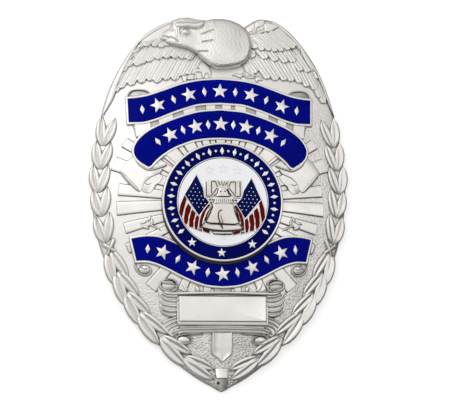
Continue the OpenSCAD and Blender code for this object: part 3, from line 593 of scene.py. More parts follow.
def finishes():
    """All materials of the badge, made once and found again by name."""
    if FINISHES:
        return FINISHES
    plating, glaze = plating_group(), glaze_group()
    rough = finish("metal_roughness")
    metal = {"Open": finish("silver"), "Recess": finish("tarnish_and_shade"), "Roughness": rough, "Depth": 0.42,
             "Walls": 0.24, "Grain": 0.2}
    # Depth of the relief in metres, share of metal, and what differs from the plain plated metal
    metals = {
        "plated_metal": (3e-5, 1.0, {}),
        "cast_field": (34e-5, 1.0, {}),
        "polished_plate": (1e-5, 1.0, {"Depth": 0.5, "Grain": 0.0, "Roughness": rough * 0.8}),
        "pin_metal": (2e-5, 1.0, {"Roughness": 0.32}),
        # The seal's metal carries strong painted shade on its steep walls, darkest on the disc's side wall
        "seal_metal": (2e-5, 1.0, {"Depth": 0.6, "Walls": 0.9}),
        "frame_metal": (2e-5, 1.0, {"Depth": 0.36, "Walls": 0.22}),
        "ray_metal": (3e-5, 1.0, {"Depth": 0.34, "Walls": 0.12}),
        "wing_metal": (3e-5, 1.0, {"Depth": 0.34, "Walls": 0.1, "Roughness": 0.4}),
        "bell_metal": (2e-5, 1.0, {"Open": (0.79, 0.75, 0.715, 1), "Depth": 0.35, "Walls": 0.2}),
        "shaded_metal": (3e-5, 1.0, {"Open": (0.5, 0.49, 0.47, 1), "Depth": 0.5}),
        "dark_line": (1e-5, 0.6, {"Open": (0.075, 0.07, 0.062, 1), "Roughness": 0.5}),
        # Dark grey metal that paints the shade lines along the edges of rays and folds
        "hollow_metal": (1e-5, 0.9, {"Open": (0.34, 0.335, 0.32, 1), "Roughness": 0.5, "Depth": 0.2}),
    }
    for name, (bump, metallic, changes) in metals.items():
        links = grain_link if name == "cast_field" else None
        material_from(name, plating, {**metal, **changes}, bump, metallic, links=links)
    faded_red = (0.8, 0.35, 0.33)
    pale = (*(0.7 * a + 0.3 * b for a, b in zip(finish("white")[:3], faded_red)), 1)
    tones = {"blue_enamel": finish("blue"), "navy_enamel": finish("navy"), "white_enamel": finish("white"),
             "red_enamel": finish("red"), "canton_blue": (0.003, 0.009, 0.105, 1), "faint_enamel": pale}
    for name, tone in tones.items():
        light = tone[1] > 0.5
        deep = (*(c * (0.95 if light else 0.65) for c in tone[:3]), 1)
        values = {"Glass": tone, "Deep": deep, "Roughness": finish("enamel_roughness")}
        # Pale enamels glow a little as painted light
        material_from(name, glaze, values, 1e-5, coat=0.03, specular=0.0, painted_glow=0.13 if light else 0.0)
    return FINISHES


class Builds:
    """What the operators of the pieces share: build makes them, and its errors are the operator's."""

    bl_options = {"REGISTER", "UNDO"}

    def execute(self, _context):
        self.build()
        return {"FINISHED"}


# How far the hollow back reaches, as a share of the outline
HOLLOW_REACH = 0.95


def past(value, edge, rate):
    """A soft step from one below the edge to nothing past it, or the other way for a negative rate."""
    return 1 / (1 + np.exp((value - edge) * rate))


class BADGE_OT_plate(Builds, bpy.types.Operator):
    """Domed plate of the shield with its hollow back"""

    bl_idname = "badge.plate"
    bl_label = "Plate"

    def build(self):
        """Rings of the outline at a share s: the face at face_z, a rounded rim at s near one, and
        the hollow at dome rise * (1 - (s / its reach)**2)."""
        face = np.concatenate([np.linspace(0.01, 0.93, 84), [0.955, 0.975, 0.988, 0.996, 1.0]])
        drop = np.concatenate([np.zeros(84), [0.0, 0.02, 0.09, 0.22, 0.42]])
        back = np.array([1.0, 0.985, 0.95, 0.9, 0.8, 0.65, 0.5, 0.35, 0.2, 0.01])
        a = np.linspace(-180, 180, 400, endpoint=False)
        out = np.interp(a, ANGLES, SMOOTH)
        x = 0.5 * mm("shield_width") * out * np.sin(np.radians(a))
        y = 0.5 * mm("shield_height") * out * np.cos(np.radians(a))
        hollow = mm("dome_rise") * (1 - np.minimum(back / HOLLOW_REACH, 1) ** 2)
        hollow[0] = 0.25
        level = np.concatenate([mm("plate") + mm("dome_rise") * (1 - face**2) - drop, hollow])
        s = np.concatenate([face, back])[:, None]
        z = np.broadcast_to(level[:, None], (len(s), len(a)))
        piece = put("shield_plate", [loft(np.dstack([s * x, s * y, z]))], "cast_field", crease=50)
        v = np.zeros(len(piece.data.vertices) * 3, np.float32)
        piece.data.vertices.foreach_get("co", v)
        px, py, _ = (v.reshape(-1, 3) * 1000).T
        # Cast grain: coarse under the lower ribbon and on the right below the wing, most at the tip
        right = past(px, 15, -0.9) * past(py, 20, 0.7)
        grain = np.clip(0.03 + 0.5 * past(py, -16.5, 0.8) + 0.42 * right + 0.35 * past(py, -27, 0.8), 0, 1)
        values = piece.data.attributes.new("grain", "FLOAT", "POINT").data
        values.foreach_set("value", grain.astype(np.float32))


# Pairs of laurel leaves on the left: root, inner leaf's tip, outer leaf's tip
WREATH = [
    [(-24.9, 12.2), (-22.2, 18.2), (-25.0, 18.8)], [(-25.5, 7.2), (-23.2, 13.0), (-26.2, 13.5)],
    [(-26.0, 2.2), (-23.8, 8.2), (-26.9, 8.5)], [(-25.3, -2.9), (-24.0, 3.5), (-26.9, 3.0)],
    [(-24.5, -8.5), (-23.6, -2.0), (-26.5, -2.5)], [(-23.7, -9.8), (-19.7, -16.1), (-22.5, -17.4)],
    [(-22.2, -14.4), (-17.5, -19.9), (-20.0, -21.8)], [(-20.2, -18.8), (-15.0, -23.9), (-17.0, -25.9)],
    [(-17.6, -23.0), (-11.4, -27.9), (-13.1, -29.9)], [(-13.0, -28.2), (-6.5, -32.1), (-7.4, -34.5)],
    [(-8.0, -32.6), (-1.6, -35.3), (-1.8, -37.3)],
]
TIES = [[(-25.2, -8.6), (-22.3, -10.6)], [(-22.7, -7.5), (-24.2, -11.4)]]
# How many pairs stand over the ties, how many have a shallow groove in their right outer leaf, and
# how far each half is drawn in towards the middle line
UPPER_PAIRS, SHALLOW_PAIRS = 5, 8
DRAWN_LEFT, DRAWN_RIGHT = 0.984, 0.976


def leaf(root, tip, bend, rise, wide, cut):
    """A laurel leaf: a pointed oval with a groove along its middle."""
    root, tip = np.array(root), np.array(tip)
    d = tip - root
    side = np.array([-d[1], d[0]]) / np.linalg.norm(d)
    line = [root, root + d * 0.35 + side * bend, root + d * 0.7 + side * bend * 0.8, tip]
    widths = mm("leaf_half") * wide * np.array([0.45, 0.85, 1, 0.97, 0.72, 0])
    widths[-1] = 0.04
    rises = rise * np.array([0.45, 0.9, 1, 1, 0.8, 0.5])

    def form(v):
        return round_form(v) ** 0.5 - cut * np.exp(-((v / 0.3) ** 2))

    return strand(line, widths, rises, low=-0.8, ends=(0.12, 0), n=22, m=25, form=form, edge=0.22)


def drawn_in(shapes, by):
    """Shapes drawn in a little towards the middle line."""
    return [(v * [by, 1, 1], q, t) for v, q, t in shapes]


class BADGE_OT_wreath(Builds, bpy.types.Operator):
    """Laurel leaves along the rim and the crossed ties"""

    bl_idname = "badge.wreath"
    bl_label = "Wreath"

    def build(self):
        left, right = [], []
        for k, (root, inner, outer) in enumerate(WREATH):
            upper = k < UPPER_PAIRS
            rise = mm("leaf_rise") * (1.0 if upper else 1.05)
            bends, wide = ((-0.12, 0.3), 0.95) if upper else ((0.04, -0.4), 1.06)
            for leaves, cuts in ((left, (0.56, 0.56)), (right, (0.45, 0.12 if k < SHALLOW_PAIRS else 0.3))):
                leaves.append(leaf(root, inner, bends[0], rise, 0.95, cuts[0]))
                leaves.append(leaf(root, outer, bends[1], rise, wide, cuts[1]))
        put("wreath_leaves_left", drawn_in(left, DRAWN_LEFT), "plated_metal")
        put("wreath_leaves_right", drawn_in(map(mirrored, right), DRAWN_RIGHT), "plated_metal")
        straps = [strand(t, 0.46, [0.75, 1.25, 0.75], low=-0.8, ends=(0.12, 0.12), m=11) for t in TIES]
        straps = drawn_in(straps, DRAWN_LEFT) + drawn_in(map(mirrored, straps), DRAWN_RIGHT)
        put("wreath_ties", straps, "plated_metal")


# Rows of feathers, the lowest first: tips, turn from tip to root at the row's ends in degrees,
# length, half width, rise at root and tip
FEATHERS_LEFT = [
    ([(-22.4, 23.6), (-21.0, 24.7), (-18.9, 25.2), (-16.8, 25.65), (-15.0, 26.1), (-13.5, 25.6),
      (-11.6, 26.15), (-9.8, 26.1), (-8.1, 27.0), (-6.6, 27.3), (-5.2, 28.6)],
      (60, 63), 6.4, 0.88, 0.2, 0.42),
    ([(-20.6, 28.4), (-19.4, 29.4), (-17.6, 29.5), (-16.6, 29.9), (-15.1, 30.3), (-13.2, 30.75),
      (-11.4, 31.0), (-9.7, 31.0), (-8.1, 30.85), (-6.6, 30.6)], (56, 60), 5.0, 0.86, 0.36, 0.64),
    ([(-19.4, 31.0), (-18.2, 32.4), (-16.9, 33.6), (-15.6, 33.85), (-14.0, 33.75), (-12.6, 33.5),
      (-11.3, 33.9)], (44, 34), 3.4, 0.62, 0.55, 0.86),
]
FEATHERS_RIGHT = [
    ([(7.8, 27.5), (10.4, 26.3), (12.1, 26.05), (13.9, 26.1), (15.4, 26.0), (17.1, 25.75), (18.7, 25.0),
      (20.4, 24.4), (21.5, 22.75), (22.3, 21.6), (23.2, 20.2)], (122, 112), 6.6, 0.9, 0.2, 0.42),
    ([(7.5, 31.1), (10.1, 30.75), (12.2, 30.35), (14.2, 30.1), (15.9, 30.25), (17.4, 28.4), (19.0, 28.25),
      (20.0, 28.6), (21.2, 27.0)], (128, 118), 4.6, 0.92, 0.36, 0.64),
    ([(8.1, 33.1), (9.5, 32.6), (10.9, 32.6), (12.2, 32.5), (13.5, 32.6), (14.9, 33.0), (16.0, 33.4),
      (16.8, 34.0), (17.9, 33.2)], (133, 137), 5.6, 0.66, 0.6, 0.88),
]
# The smooth shoulders over the rows and the lines cut into them
SHOULDER_LEFT = [
    (-17.6, 34.3), (-15.4, 34.5), (-13.6, 34.9), (-12.2, 35.3), (-8.0, 35.4), (-7.0, 39.6), (-10.4, 39.4),
    (-13.8, 37.6),
]
SHOULDER_RIGHT = [
    (5.8, 37.9), (6.1, 36.9), (6.4, 35.7), (6.9, 35.5), (7.8, 35.7), (8.3, 36.4), (9.3, 36.6), (10.0, 36.9),
    (10.8, 36.9), (11.9, 37.5), (12.6, 37.9), (13.6, 38.3), (12.6, 39.6), (10.0, 40.0), (8.2, 39.5),
    (6.9, 38.8),
]
SHOULDER_LINES = [
    [(6.3, 36.7), (7.2, 37.0), (7.8, 37.7), (7.9, 38.4), (7.8, 39.3)],
    [(8.3, 37.8), (9.1, 38.0), (9.8, 38.5), (10.0, 39.3)], [(10.0, 39.0), (10.8, 39.0), (11.6, 38.75)],
    [(8.4, 37.7), (8.3, 37.1), (9.0, 37.1), (9.8, 37.3), (9.8, 38.2)], [(7.3, 36.9), (8.2, 37.0)],
    [(6.5, 36.4), (7.3, 36.3), (8.1, 36.5)],
]
# Inner edges of the smooth bands along the wings' leading edges
BAND_LEFT = [
    (-6.5, 39.2), (-8.4, 38.95), (-10.2, 38.6), (-11.4, 38.05), (-13.4, 36.9), (-15.6, 35.3), (-16.9, 34.2),
    (-18.2, 32.0), (-19.4, 29.8), (-20.4, 27.6), (-21.4, 25.2), (-21.8, 23.8), (-22.6, 21.8), (-24.3, 19.0),
]
BAND_RIGHT = [
    (11.4, 39.2), (12.8, 38.45), (14.0, 37.35), (15.2, 36.15), (16.5, 34.75), (17.3, 33.95), (17.9, 32.45),
    (18.6, 30.85), (19.6, 29.35), (20.7, 28.65), (21.6, 26.65), (22.4, 24.65), (23.2, 22.25), (24.6, 19.25),
]


def soft_step(value, width):
    """A quarter circle from 0 at nothing to 1 at the width."""
    t = np.clip(value / width, 0, 1)
    return np.sqrt(np.maximum(1 - (1 - t) ** 2, 0))


def hump(distance, width):
    """A rounded hump: one at no distance, nothing from its width on."""
    return np.clip(1 - (distance / width) ** 2, 0, 1)


def groove(x, y, points, width, depth):
    """Depth of a rounded groove along a line."""
    return depth * hump(away(curve(points, np.linspace(0, 1, 24)), x, y), width)


def feathered(x, y, rows):
    """Height of overlapping feathers. With u from a tip towards its root and v across in half
    widths, a feather fills |v| < 1 and u > e * (1 - sqrt(1 - v**2)); it rises from its root to its
    tip, has a round back and three fine lines, and the highest feather counts."""
    h = np.full_like(x, -1.0)
    for tips, turns, long, half, low, high in rows:
        for (tx, ty), turn in zip(tips, np.radians(np.linspace(*turns, len(tips)))):
            u = (x - tx) * np.cos(turn) + (y - ty) * np.sin(turn)
            v = ((y - ty) * np.cos(turn) - (x - tx) * np.sin(turn)) / half
            back = round_form(v)
            start = 1.15 * half * (1 - back)
            fine = 0.19 * np.cos(v * np.pi * 1.5) ** 2 * np.clip(u * 1.5, 0, 1)
            tip = 0.16 * np.clip(1 - (u - start) / 0.3, 0, 1) ** 2
            body = low + (high - low) * (1 - u / long) + 0.2 * back**0.6 - fine - tip
            h = np.where((np.abs(v) < 1) & (u > start) & (u < long), np.maximum(h, body), h)
    return h


def wing_height(x, y, rows, shoulder, level, lines):
    """Height of a wing: its feathers, and over them a smooth shoulder with lines cut into it."""
    h = feathered(x, y, rows)
    h = np.where((reach(x, y) > 0.92) & (y > 25), np.maximum(h, 0.3), h)
    rim = inside(shoulder, x, y)
    top = level * (0.72 + 0.28 * soft_step(rim, 0.7))
    for line in lines:
        top = top - groove(x, y, line, 0.2, 0.22)
    return np.where(rim > 0, np.maximum(top, 0.2), np.where(rim > -0.6, np.maximum(h, 0.5), h))


def wing_band(points, rise):
    """Smooth band from its inner edge to the outline of the shield."""
    inner = curve(points, np.linspace(0, 1, 60))
    out = inner / reach(inner[:, 0], inner[:, 1])[:, None] * 0.997
    return pad(out, inner, -0.5, rise, n=90, soft=0.22, belly=0.1, smooth=False)


class BADGE_OT_wings(Builds, bpy.types.Operator):
    """The two wings: rows of feathers under a smooth leading edge"""

    bl_idname = "badge.wings"
    bl_label = "Wings"

    def build(self):
        def left(x, y):
            return wing_height(x, y, FEATHERS_LEFT, SHOULDER_LEFT, 0.95, ())

        def right(x, y):
            """The same for places drawn in and down towards the right."""
            x, y = x - 0.35 * np.clip((x - 6.0) / 10.0, 0, 1), y - 0.3 * np.clip((x - 5.0) / 4.0, 0, 1)
            return wing_height(x, y, FEATHERS_RIGHT, SHOULDER_RIGHT, 0.92, SHOULDER_LINES)

        wings = (("left", (-22.4, 24.0, -2.6, 39.6), left, BAND_LEFT, 1.05),
                 ("right", (5.0, 22.0, 22.9, 40.2), right, BAND_RIGHT, 0.7))
        for name, area, height, band, first in wings:
            edge = wing_band(band, [first, 1.05, 1.0, 0.85, 0.6, 0.4])
            put(f"wing_{name}", [relief(*area, 0.12, height, rim=0.985), edge], "wing_metal", crease=60)


# The eagle's head, neck and breast in one outline, from the beak round the crown
EAGLE = [
    (-12.4, 35.4), (-12.15, 36.0), (-11.6, 36.8), (-10.9, 37.35), (-10.1, 37.75), (-9.95, 38.4),
    (-9.6, 39.4), (-8.0, 40.05), (-6.0, 40.1), (-4.0, 39.75), (-2.6, 39.5), (-1.0, 39.85), (1.0, 39.95),
    (3.0, 39.55), (4.8, 38.75), (5.9, 37.7), (6.6, 36.2), (7.0, 34.4), (6.95, 33.0), (6.5, 31.5),
    (5.6, 30.2), (4.4, 29.4), (3.0, 28.95), (1.0, 28.65), (-0.5, 28.7), (-2.0, 29.3), (-3.5, 30.6),
    (-4.6, 31.9), (-5.4, 32.4), (-6.5, 33.0), (-8.0, 33.4), (-10.0, 33.95), (-11.3, 34.5), (-11.2, 34.95),
    (-11.9, 35.1),
]
# The ridge over the eye
BROW = [(-8.6, 38.2), (-6.6, 38.35), (-4.8, 38.2), (-3.4, 38.7)]
# Lines cut into the head and neck: places, half width, depth
EAGLE_LINES = [
    ([(-3.5, 36.15), (-2.3, 36.6), (-1.1, 37.1)], 0.22, 0.5),
    ([(-3.6, 34.25), (-2.4, 34.45), (-1.2, 34.6)], 0.24, 0.5),
    ([(-4.4, 32.15), (-3.4, 32.2), (-2.4, 32.1)], 0.2, 0.5),
    ([(-1.3, 34.9), (-2.2, 34.1), (-3.3, 33.7), (-2.6, 33.0), (-2.4, 32.3)], 0.14, 0.15),
    ([(-2.4, 37.6), (-1.8, 38.1), (-2.3, 38.6), (-1.9, 39.0)], 0.16, 0.2),
    ([(-1.3, 36.9), (-2.2, 36.3), (-2.0, 35.4), (-1.2, 34.8)], 0.12, 0.12),
    ([(-12.5, 35.6), (-11.4, 35.75), (-10.6, 35.45), (-9.9, 35.35), (-9.2, 34.9), (-8.6, 34.35)],
     0.24, 0.6),
    ([(-8.75, 37.7), (-8.6, 36.9), (-8.55, 36.0), (-8.7, 35.0)], 0.15, 0.22),
    ([(-9.1, 37.5), (-9.0, 36.6), (-9.05, 35.8)], 0.12, 0.12),
    ([(-8.1, 37.45), (-6.9, 37.65), (-5.6, 37.4), (-4.4, 37.35), (-3.6, 37.7), (-3.1, 38.3)], 0.26, 0.6),
    ([(-8.2, 37.4), (-8.1, 36.6), (-8.0, 35.7)], 0.16, 0.25), ([(-8.1, 39.5), (-7.3, 38.7)], 0.14, 0.25),
    ([(-5.9, 39.7), (-4.6, 39.4), (-3.4, 39.2)], 0.18, 0.3),
]
# The feet: outlines, and the lines cut between the talons
FEET = [
    [(-8.1, 27.2), (-7.6, 25.9), (-7.2, 25.4), (-6.8, 26.2), (-5.6, 26.1), (-3.6, 26.4), (-1.8, 26.5),
      (-1.6, 28.0), (-2.1, 29.3), (-3.5, 30.6), (-4.6, 31.4), (-5.2, 29.6), (-5.7, 28.2), (-6.6, 27.4)],
    [(2.7, 27.3), (3.5, 27.15), (4.5, 26.7), (5.1, 27.2), (5.8, 26.6), (7.4, 26.6), (7.9, 25.7),
      (8.4, 26.2), (9.2, 26.2), (8.5, 27.2), (7.4, 27.6), (6.6, 28.8), (5.9, 30.2), (4.9, 29.8),
      (5.3, 28.2), (4.4, 27.6), (3.6, 27.8)],
]
TALON_LINES = [
    [(-8.0, 27.1), (-7.3, 27.15), (-6.7, 27.1), (-6.8, 26.2)],
    [(-6.5, 27.2), (-5.9, 27.45), (-4.9, 27.2), (-4.7, 26.2)], [(-5.3, 27.3), (-5.3, 26.2)],
    [(-4.8, 27.85), (-4.2, 27.85), (-3.6, 27.6), (-3.6, 26.9), (-3.4, 26.3)],
    [(-3.2, 26.5), (-2.9, 27.4), (-2.5, 27.65), (-2.1, 27.2), (-2.0, 26.4)],
    [(-3.5, 30.3), (-4.2, 29.4), (-4.3, 28.7)], [(5.1, 29.5), (5.5, 28.6), (5.6, 27.9), (4.9, 27.4)],
    [(5.5, 27.3), (5.9, 26.8), (6.6, 27.2), (7.5, 26.9), (8.4, 27.1)], [(7.6, 27.0), (7.5, 26.5)],
    [(6.1, 27.8), (6.6, 27.3)],
]


def eagle_height(x, y):
    """Height of the head, neck and breast over the face: a round breast and a rounded head inside
    one outline, less grooves for the beak, eye, brow and neck, and short rows of breast feathers."""
    rim = inside(EAGLE, x, y)
    breast = np.hypot((x - 1.2) / 6.3, (y - 34.3) / 6.0)
    swell = mm("breast_rise") * (0.55 + 0.45 * (1 - np.minimum(breast, 1) ** 2.4))
    swell *= 0.62 + 0.38 * soft_step(rim, 0.8)
    head = mm("head_rise") * (0.62 + 0.38 * soft_step(rim, 1.8)) * np.clip(1.0 + (x + 9.3) * 0.14, 0.5, 1.0)
    head *= np.clip((-1.0 - x) / 3 + 1, 0.3, 1)
    swell = np.where(breast < 1.03, swell, 0)
    h = np.maximum(swell, head) + 0.2 * np.clip(1 - np.abs(swell - head) / 0.8, 0, 1) ** 2
    rows = y + 0.04 * (x - 1.2) ** 2 + 0.14 * np.sin(1.9 * x) + 0.1 * np.sin(4.3 * x + 1)
    line = np.floor(rows / 0.5)
    along_row = x / (0.85 + 0.2 * np.sin(5.1 * line)) + 0.39 * line + 0.21 * np.sin(2.7 * line * line)
    mark = np.clip(np.cos(2 * np.pi * along_row) * np.sin(np.pi * (rows / 0.5 - line)) - 0.3, 0, 1)
    h -= 0.12 * mark * np.clip((1.02 - breast) * 6, 0, 1)
    waves = 0.9 * y - 0.35 * x + 0.1 * np.sin(2.3 * x)
    hair = np.sin(2 * np.pi * waves / 0.5) * np.sin(2.9 * x + 1.3 * y)
    h -= 0.07 * np.clip(hair, 0, 1) * np.clip((breast - 1.1) * 6, 0, 1) * np.clip((x + 9.0) * 3, 0, 1)
    for points, width, depth in EAGLE_LINES:
        h -= groove(x, y, points, 0.85 * width, 0.6 * depth)
    h -= 0.3 * hump(np.hypot(x + 9.7, y - 37.0), 0.3)
    h -= 0.28 * hump(np.hypot((x + 6.85) / 1.35, (y - 36.6) / 0.95) - 0.88, 0.26)
    h += 0.3 * hump(np.hypot(x + 6.95, y - 36.6), 0.6)
    h += 0.3 * hump(away(BROW, x, y), 0.6)
    return np.where(rim > 0, h, rim * 6)


def feet_height(x, y):
    """Height of the feet: a low rounded slab in each outline, less the lines between the talons."""
    rim = np.maximum(inside(FEET[0], x, y), inside(FEET[1], x, y))
    h = 0.42 * (0.6 + 0.4 * soft_step(rim, 0.5))
    for line in TALON_LINES:
        h = h - groove(x, y, line, 0.16, 0.24)
    return np.where(rim > 0, h, -1.0)


class BADGE_OT_eagle(Builds, bpy.types.Operator):
    """The eagle's head, breast and feet"""

    bl_idname = "badge.eagle"
    bl_label = "Eagle"

    def build(self):
        body = relief(-12.9, 28.2, 7.5, 40.5, 0.11, eagle_height)
        put("eagle_head_and_breast", [body], "wing_metal", crease=70)
        feet = relief(-8.5, 25.1, 9.6, 31.8, 0.1, feet_height)
        put("eagle_feet", [feet], "wing_metal", crease=70)


# Half of each ribbon's edges, from the middle to its end
TOP_UPPER = [
    (0, 26.1), (4, 25.8), (8, 24.95), (10, 24.25), (12, 23.55), (15, 22.6), (17.5, 22.2), (19.3, 22.15),
]
TOP_LOWER = [
    (0, 21.0), (3, 20.85), (5, 20.6), (7, 20.0), (9, 19.35), (11, 18.6), (13, 17.8), (15, 17.2),
    (16.5, 16.95), (19.1, 17.0),
]
MIDDLE_UPPER = [
    (0, 19.2), (4, 18.85), (6, 18.4), (8, 17.8), (10, 17.1), (12, 16.3), (14, 15.4), (15.5, 14.5),
    (16.8, 13.4), (17.7, 12.2), (18.15, 11), (18, 9.8), (17.4, 8.8), (16.5, 8.0), (15.7, 7.45), (15.0, 7.1),
]
MIDDLE_LOWER = [
    (0, 13.3), (3, 13.15), (6, 12.7), (8, 12.0), (9.3, 11.5), (11, 10.6), (12.7, 9.4), (14, 8.2),
    (14.8, 7.15),
]
BOTTOM_UPPER = [
    (0, -13.3), (4, -12.6), (6.5, -11.5), (8.7, -10.05), (10, -9.3), (11.3, -8.7), (13, -8.05), (15, -7.75),
    (17, -7.8), (18.8, -8.05),
]
BOTTOM_LOWER = [
    (0, -18.3), (3, -18.0), (5, -17.4), (7, -16.6), (9, -15.6), (11, -14.5), (13, -13.5), (14.3, -13.0),
    (15.7, -12.65), (17.7, -12.6),
]
# Rays on the left: angle from the top, outer reach and width there
RAYS = [
    (47, 23.2, 2.4), (56, 24.2, 2.2), (67.8, 24.1, 3.0), (80.8, 21.6, 2.5), (91.5, 21.7, 2.9),
    (103.5, 20.7, 2.3), (115, 21.6, 2.2), (139.6, 22.8, 2.7), (155, 20.0, 1.8), (170, 18.8, 1.6),
]
# The seal's middle
SEAL = (0.0, -0.796)
# Light cells between the top and middle ribbons, from x to x
TOP_CELLS = [
    (-17.9, -14.8), (-13.0, -10.1), (-7.8, -5.3), (-3.0, -1.1), (0.4, 2.2), (3.2, 5.4), (7.6, 10.2),
    (12.2, 14.0), (15.6, 17.9),
]
# Blocks between the middle ribbon and the seal: from angle to angle, and their rise
LOW_CELLS = [
    (-48, -38, 0.6), (-37, -33, 0.4), (-32, -23, 0.6), (-22, -17.5, 0.4), (-16.5, -10.5, 0.6),
    (-9.5, -5.2, 0.4), (-4.2, 3.6, 0.6), (4.6, 9, 0.4), (10, 16, 0.6), (17, 21.5, 0.4), (22.5, 31.5, 0.6),
    (32.5, 36.5, 0.4), (37.5, 48, 0.6),
]
# Small bars under the lower ribbon's middle: from x to x and from y to y
LOW_BARS = [(-8.4, -7.4, -17.3, -19.2), (-5.4, -5.0, -18.2, -19.3), (-2.4, -2.0, -18.8, -19.4)]
# How far from the seal's middle the rays and the blocks over the seal start
RAY_START, BLOCK_START = 11.2, 12.55


def edge_at(points, x):
    """Height of a ribbon's edge at x."""
    return np.interp(np.abs(x), *np.transpose(points))


def outward_to(points, way):
    """How far from the seal's middle a direction meets a ribbon's edge, less its rim."""
    r = np.linspace(10, 20, 400)
    x, y = SEAL[0] + r * way[0], SEAL[1] + r * way[1]
    return r[np.argmin(np.abs(y - edge_at(points, x)))] - 0.3


def ribbon_gap(x, clear, drawn=1.0):
    """Upper and lower edge of the gap between the top and middle ribbons, kept clear of both."""
    over = np.stack([x, edge_at(TOP_LOWER, x) - clear], -1)
    return over, np.stack([x * drawn, edge_at(MIDDLE_UPPER[:9], x) + clear], -1)


class BADGE_OT_rays(Builds, bpy.types.Operator):
    """The sunburst behind the seal and the small bars between the ribbons"""

    bl_idname = "badge.rays"
    bl_label = "Rays"

    def build(self):
        made, lines = [], []
        c = np.array(SEAL)
        for angle, outer, width in RAYS:
            d = heading(-angle)
            side = np.array([-d[1], d[0]])
            line = np.stack([c + d * RAY_START, c + d * outer])
            w = side * [[0.32 * width], [0.5 * width]]
            made.append(pad(line + w, line - w, -0.6, mm("ray_rise"), n=16, soft=0.16, smooth=False))
            # Thin dark threads round each ray: painted shade along its edges
            w = w + side * 0.05
            ring = closed(np.concatenate([line + w, (line - w)[::-1]]), 80)
            lines.append(thread(ring, 0.06, 0.1, 0.15))
        put("ray_outlines", both(lines), "hollow_metal")
        made = both(made)
        for x0, x1 in TOP_CELLS:
            over, under = ribbon_gap(np.linspace(x0, x1, 6), 0.3, 0.985)
            made.append(pad(over, under, -0.5, 0.62, n=14, soft=0.1, smooth=False))
        for a0, a1, rise in LOW_CELLS:
            ways = heading(a0), heading(a1)
            line = [c + [w * BLOCK_START, w * outward_to(MIDDLE_LOWER, w)] for w in ways]
            made.append(pad(line[1], line[0], -0.5, rise, n=14, soft=0.1, smooth=False))
        for x0, x1, y0, y1 in LOW_BARS:
            made += both([strand([(x0, y0), (x1, y1)], 0.45, 0.45, ends=(0.2, 0.2), n=8, m=9)])
        put("sunburst_rays", made, "ray_metal")
        over, under = ribbon_gap(np.linspace(-18.3, 18.3, 60), 0.2)
        under = np.where(np.abs(over[:, :1]) > 17.8, over - [0, 0.4], under)
        put("ribbon_gap_floor", [pad(over, under, -0.5, 0.4, n=60, soft=0.1, smooth=False)], "shaded_metal")


# The roll and the folded tail at a ribbon's left end: their outlines and their lines
ROLL_OUTER = [(-18.3, 9.5), (-19.7, 8.5), (-21.1, 6.5), (-19.5, 4.4), (-17.1, 1.9)]
ROLL_INNER = [(-12.0, 7.2), (-12.8, 5.8), (-14.8, 5.0), (-16.0, 3.9), (-16.7, 2.3)]
LOBE = [
    (-16.8, 2.4), (-16.2, 1.75), (-15.1, 1.5), (-14.3, 2.2), (-13.9, 3.2), (-12.8, 3.9), (-12.2, 4.9),
    (-12.9, 5.7), (-14.8, 4.9), (-16.0, 3.9),
]
ROLL_HOLLOW = [(-18.9, 22.7), (-18.4, 23.5), (-17.0, 23.8), (-15.8, 23.6), (-15.1, 23.1), (-16.6, 22.8)]
ROLL_EDGE = [(-21.0, 6.4), (-19.3, 4.4), (-17.1, 1.9)]
LOW_CURL = [
    (-18.2, -13.0), (-17.8, -14.4), (-16.9, -15.35), (-15.7, -15.6), (-14.9, -15.0), (-14.95, -14.2),
    (-15.4, -13.9),
]
# The other lines: places, half width, rise, and the shares of the length that taper
FOLD_LINES = [
    ([(-18.0, 9.2), (-16.9, 7.6), (-15.0, 6.5), (-12.6, 7.1)], 0.32, 0.9, (0.25, 0.25)),
    ([(-14.6, 6.4), (-13.0, 6.9), (-11.3, 7.5)], 0.3, 0.85, (0.25, 0.25)),
    ([(-16.1, 3.9), (-15.6, 3.45), (-15.0, 3.5), (-14.7, 3.9)], 0.16, 0.66, (0.1, 0.3)),
    ([(-19.35, 22.4), (-19.1, 23.4), (-18.3, 24.05), (-16.9, 24.15), (-15.5, 23.9), (-14.6, 23.3)],
     0.2, 0.55, (0.1, 0.3)),
    ([(-19.0, 22.6), (-17.4, 22.65), (-15.4, 22.85), (-14.4, 23.1)], 0.2, 0.55, (0.1, 0.3)),
    ([(-17.0, -13.4), (-16.7, -14.0), (-16.1, -14.35), (-15.4, -14.2)], 0.2, 0.7, (0.1, 0.2)),
    ([(-19.6, -8.7), (-19.3, -9.8), (-18.9, -10.9)], 0.42, 0.5, (0.25, 0.25)),
    ([(-18.2, 16.1), (-17.4, 15.3), (-16.6, 14.5)], 0.3, 0.6, (0.25, 0.25)),
    ([(-12.6, -6.5), (-14.0, -5.6), (-15.4, -4.9)], 0.22, 0.5, (0.25, 0.25)),
]
# Small leaves of the sprigs beside the seal: middle and turn in degrees, and half their length
SPRIG = [(-15.2, -3.9, 60), (-16.3, -4.6, 20), (-15.9, -5.6, -20), (-14.6, -4.6, 90)]
SPRIG_HALF = 0.85


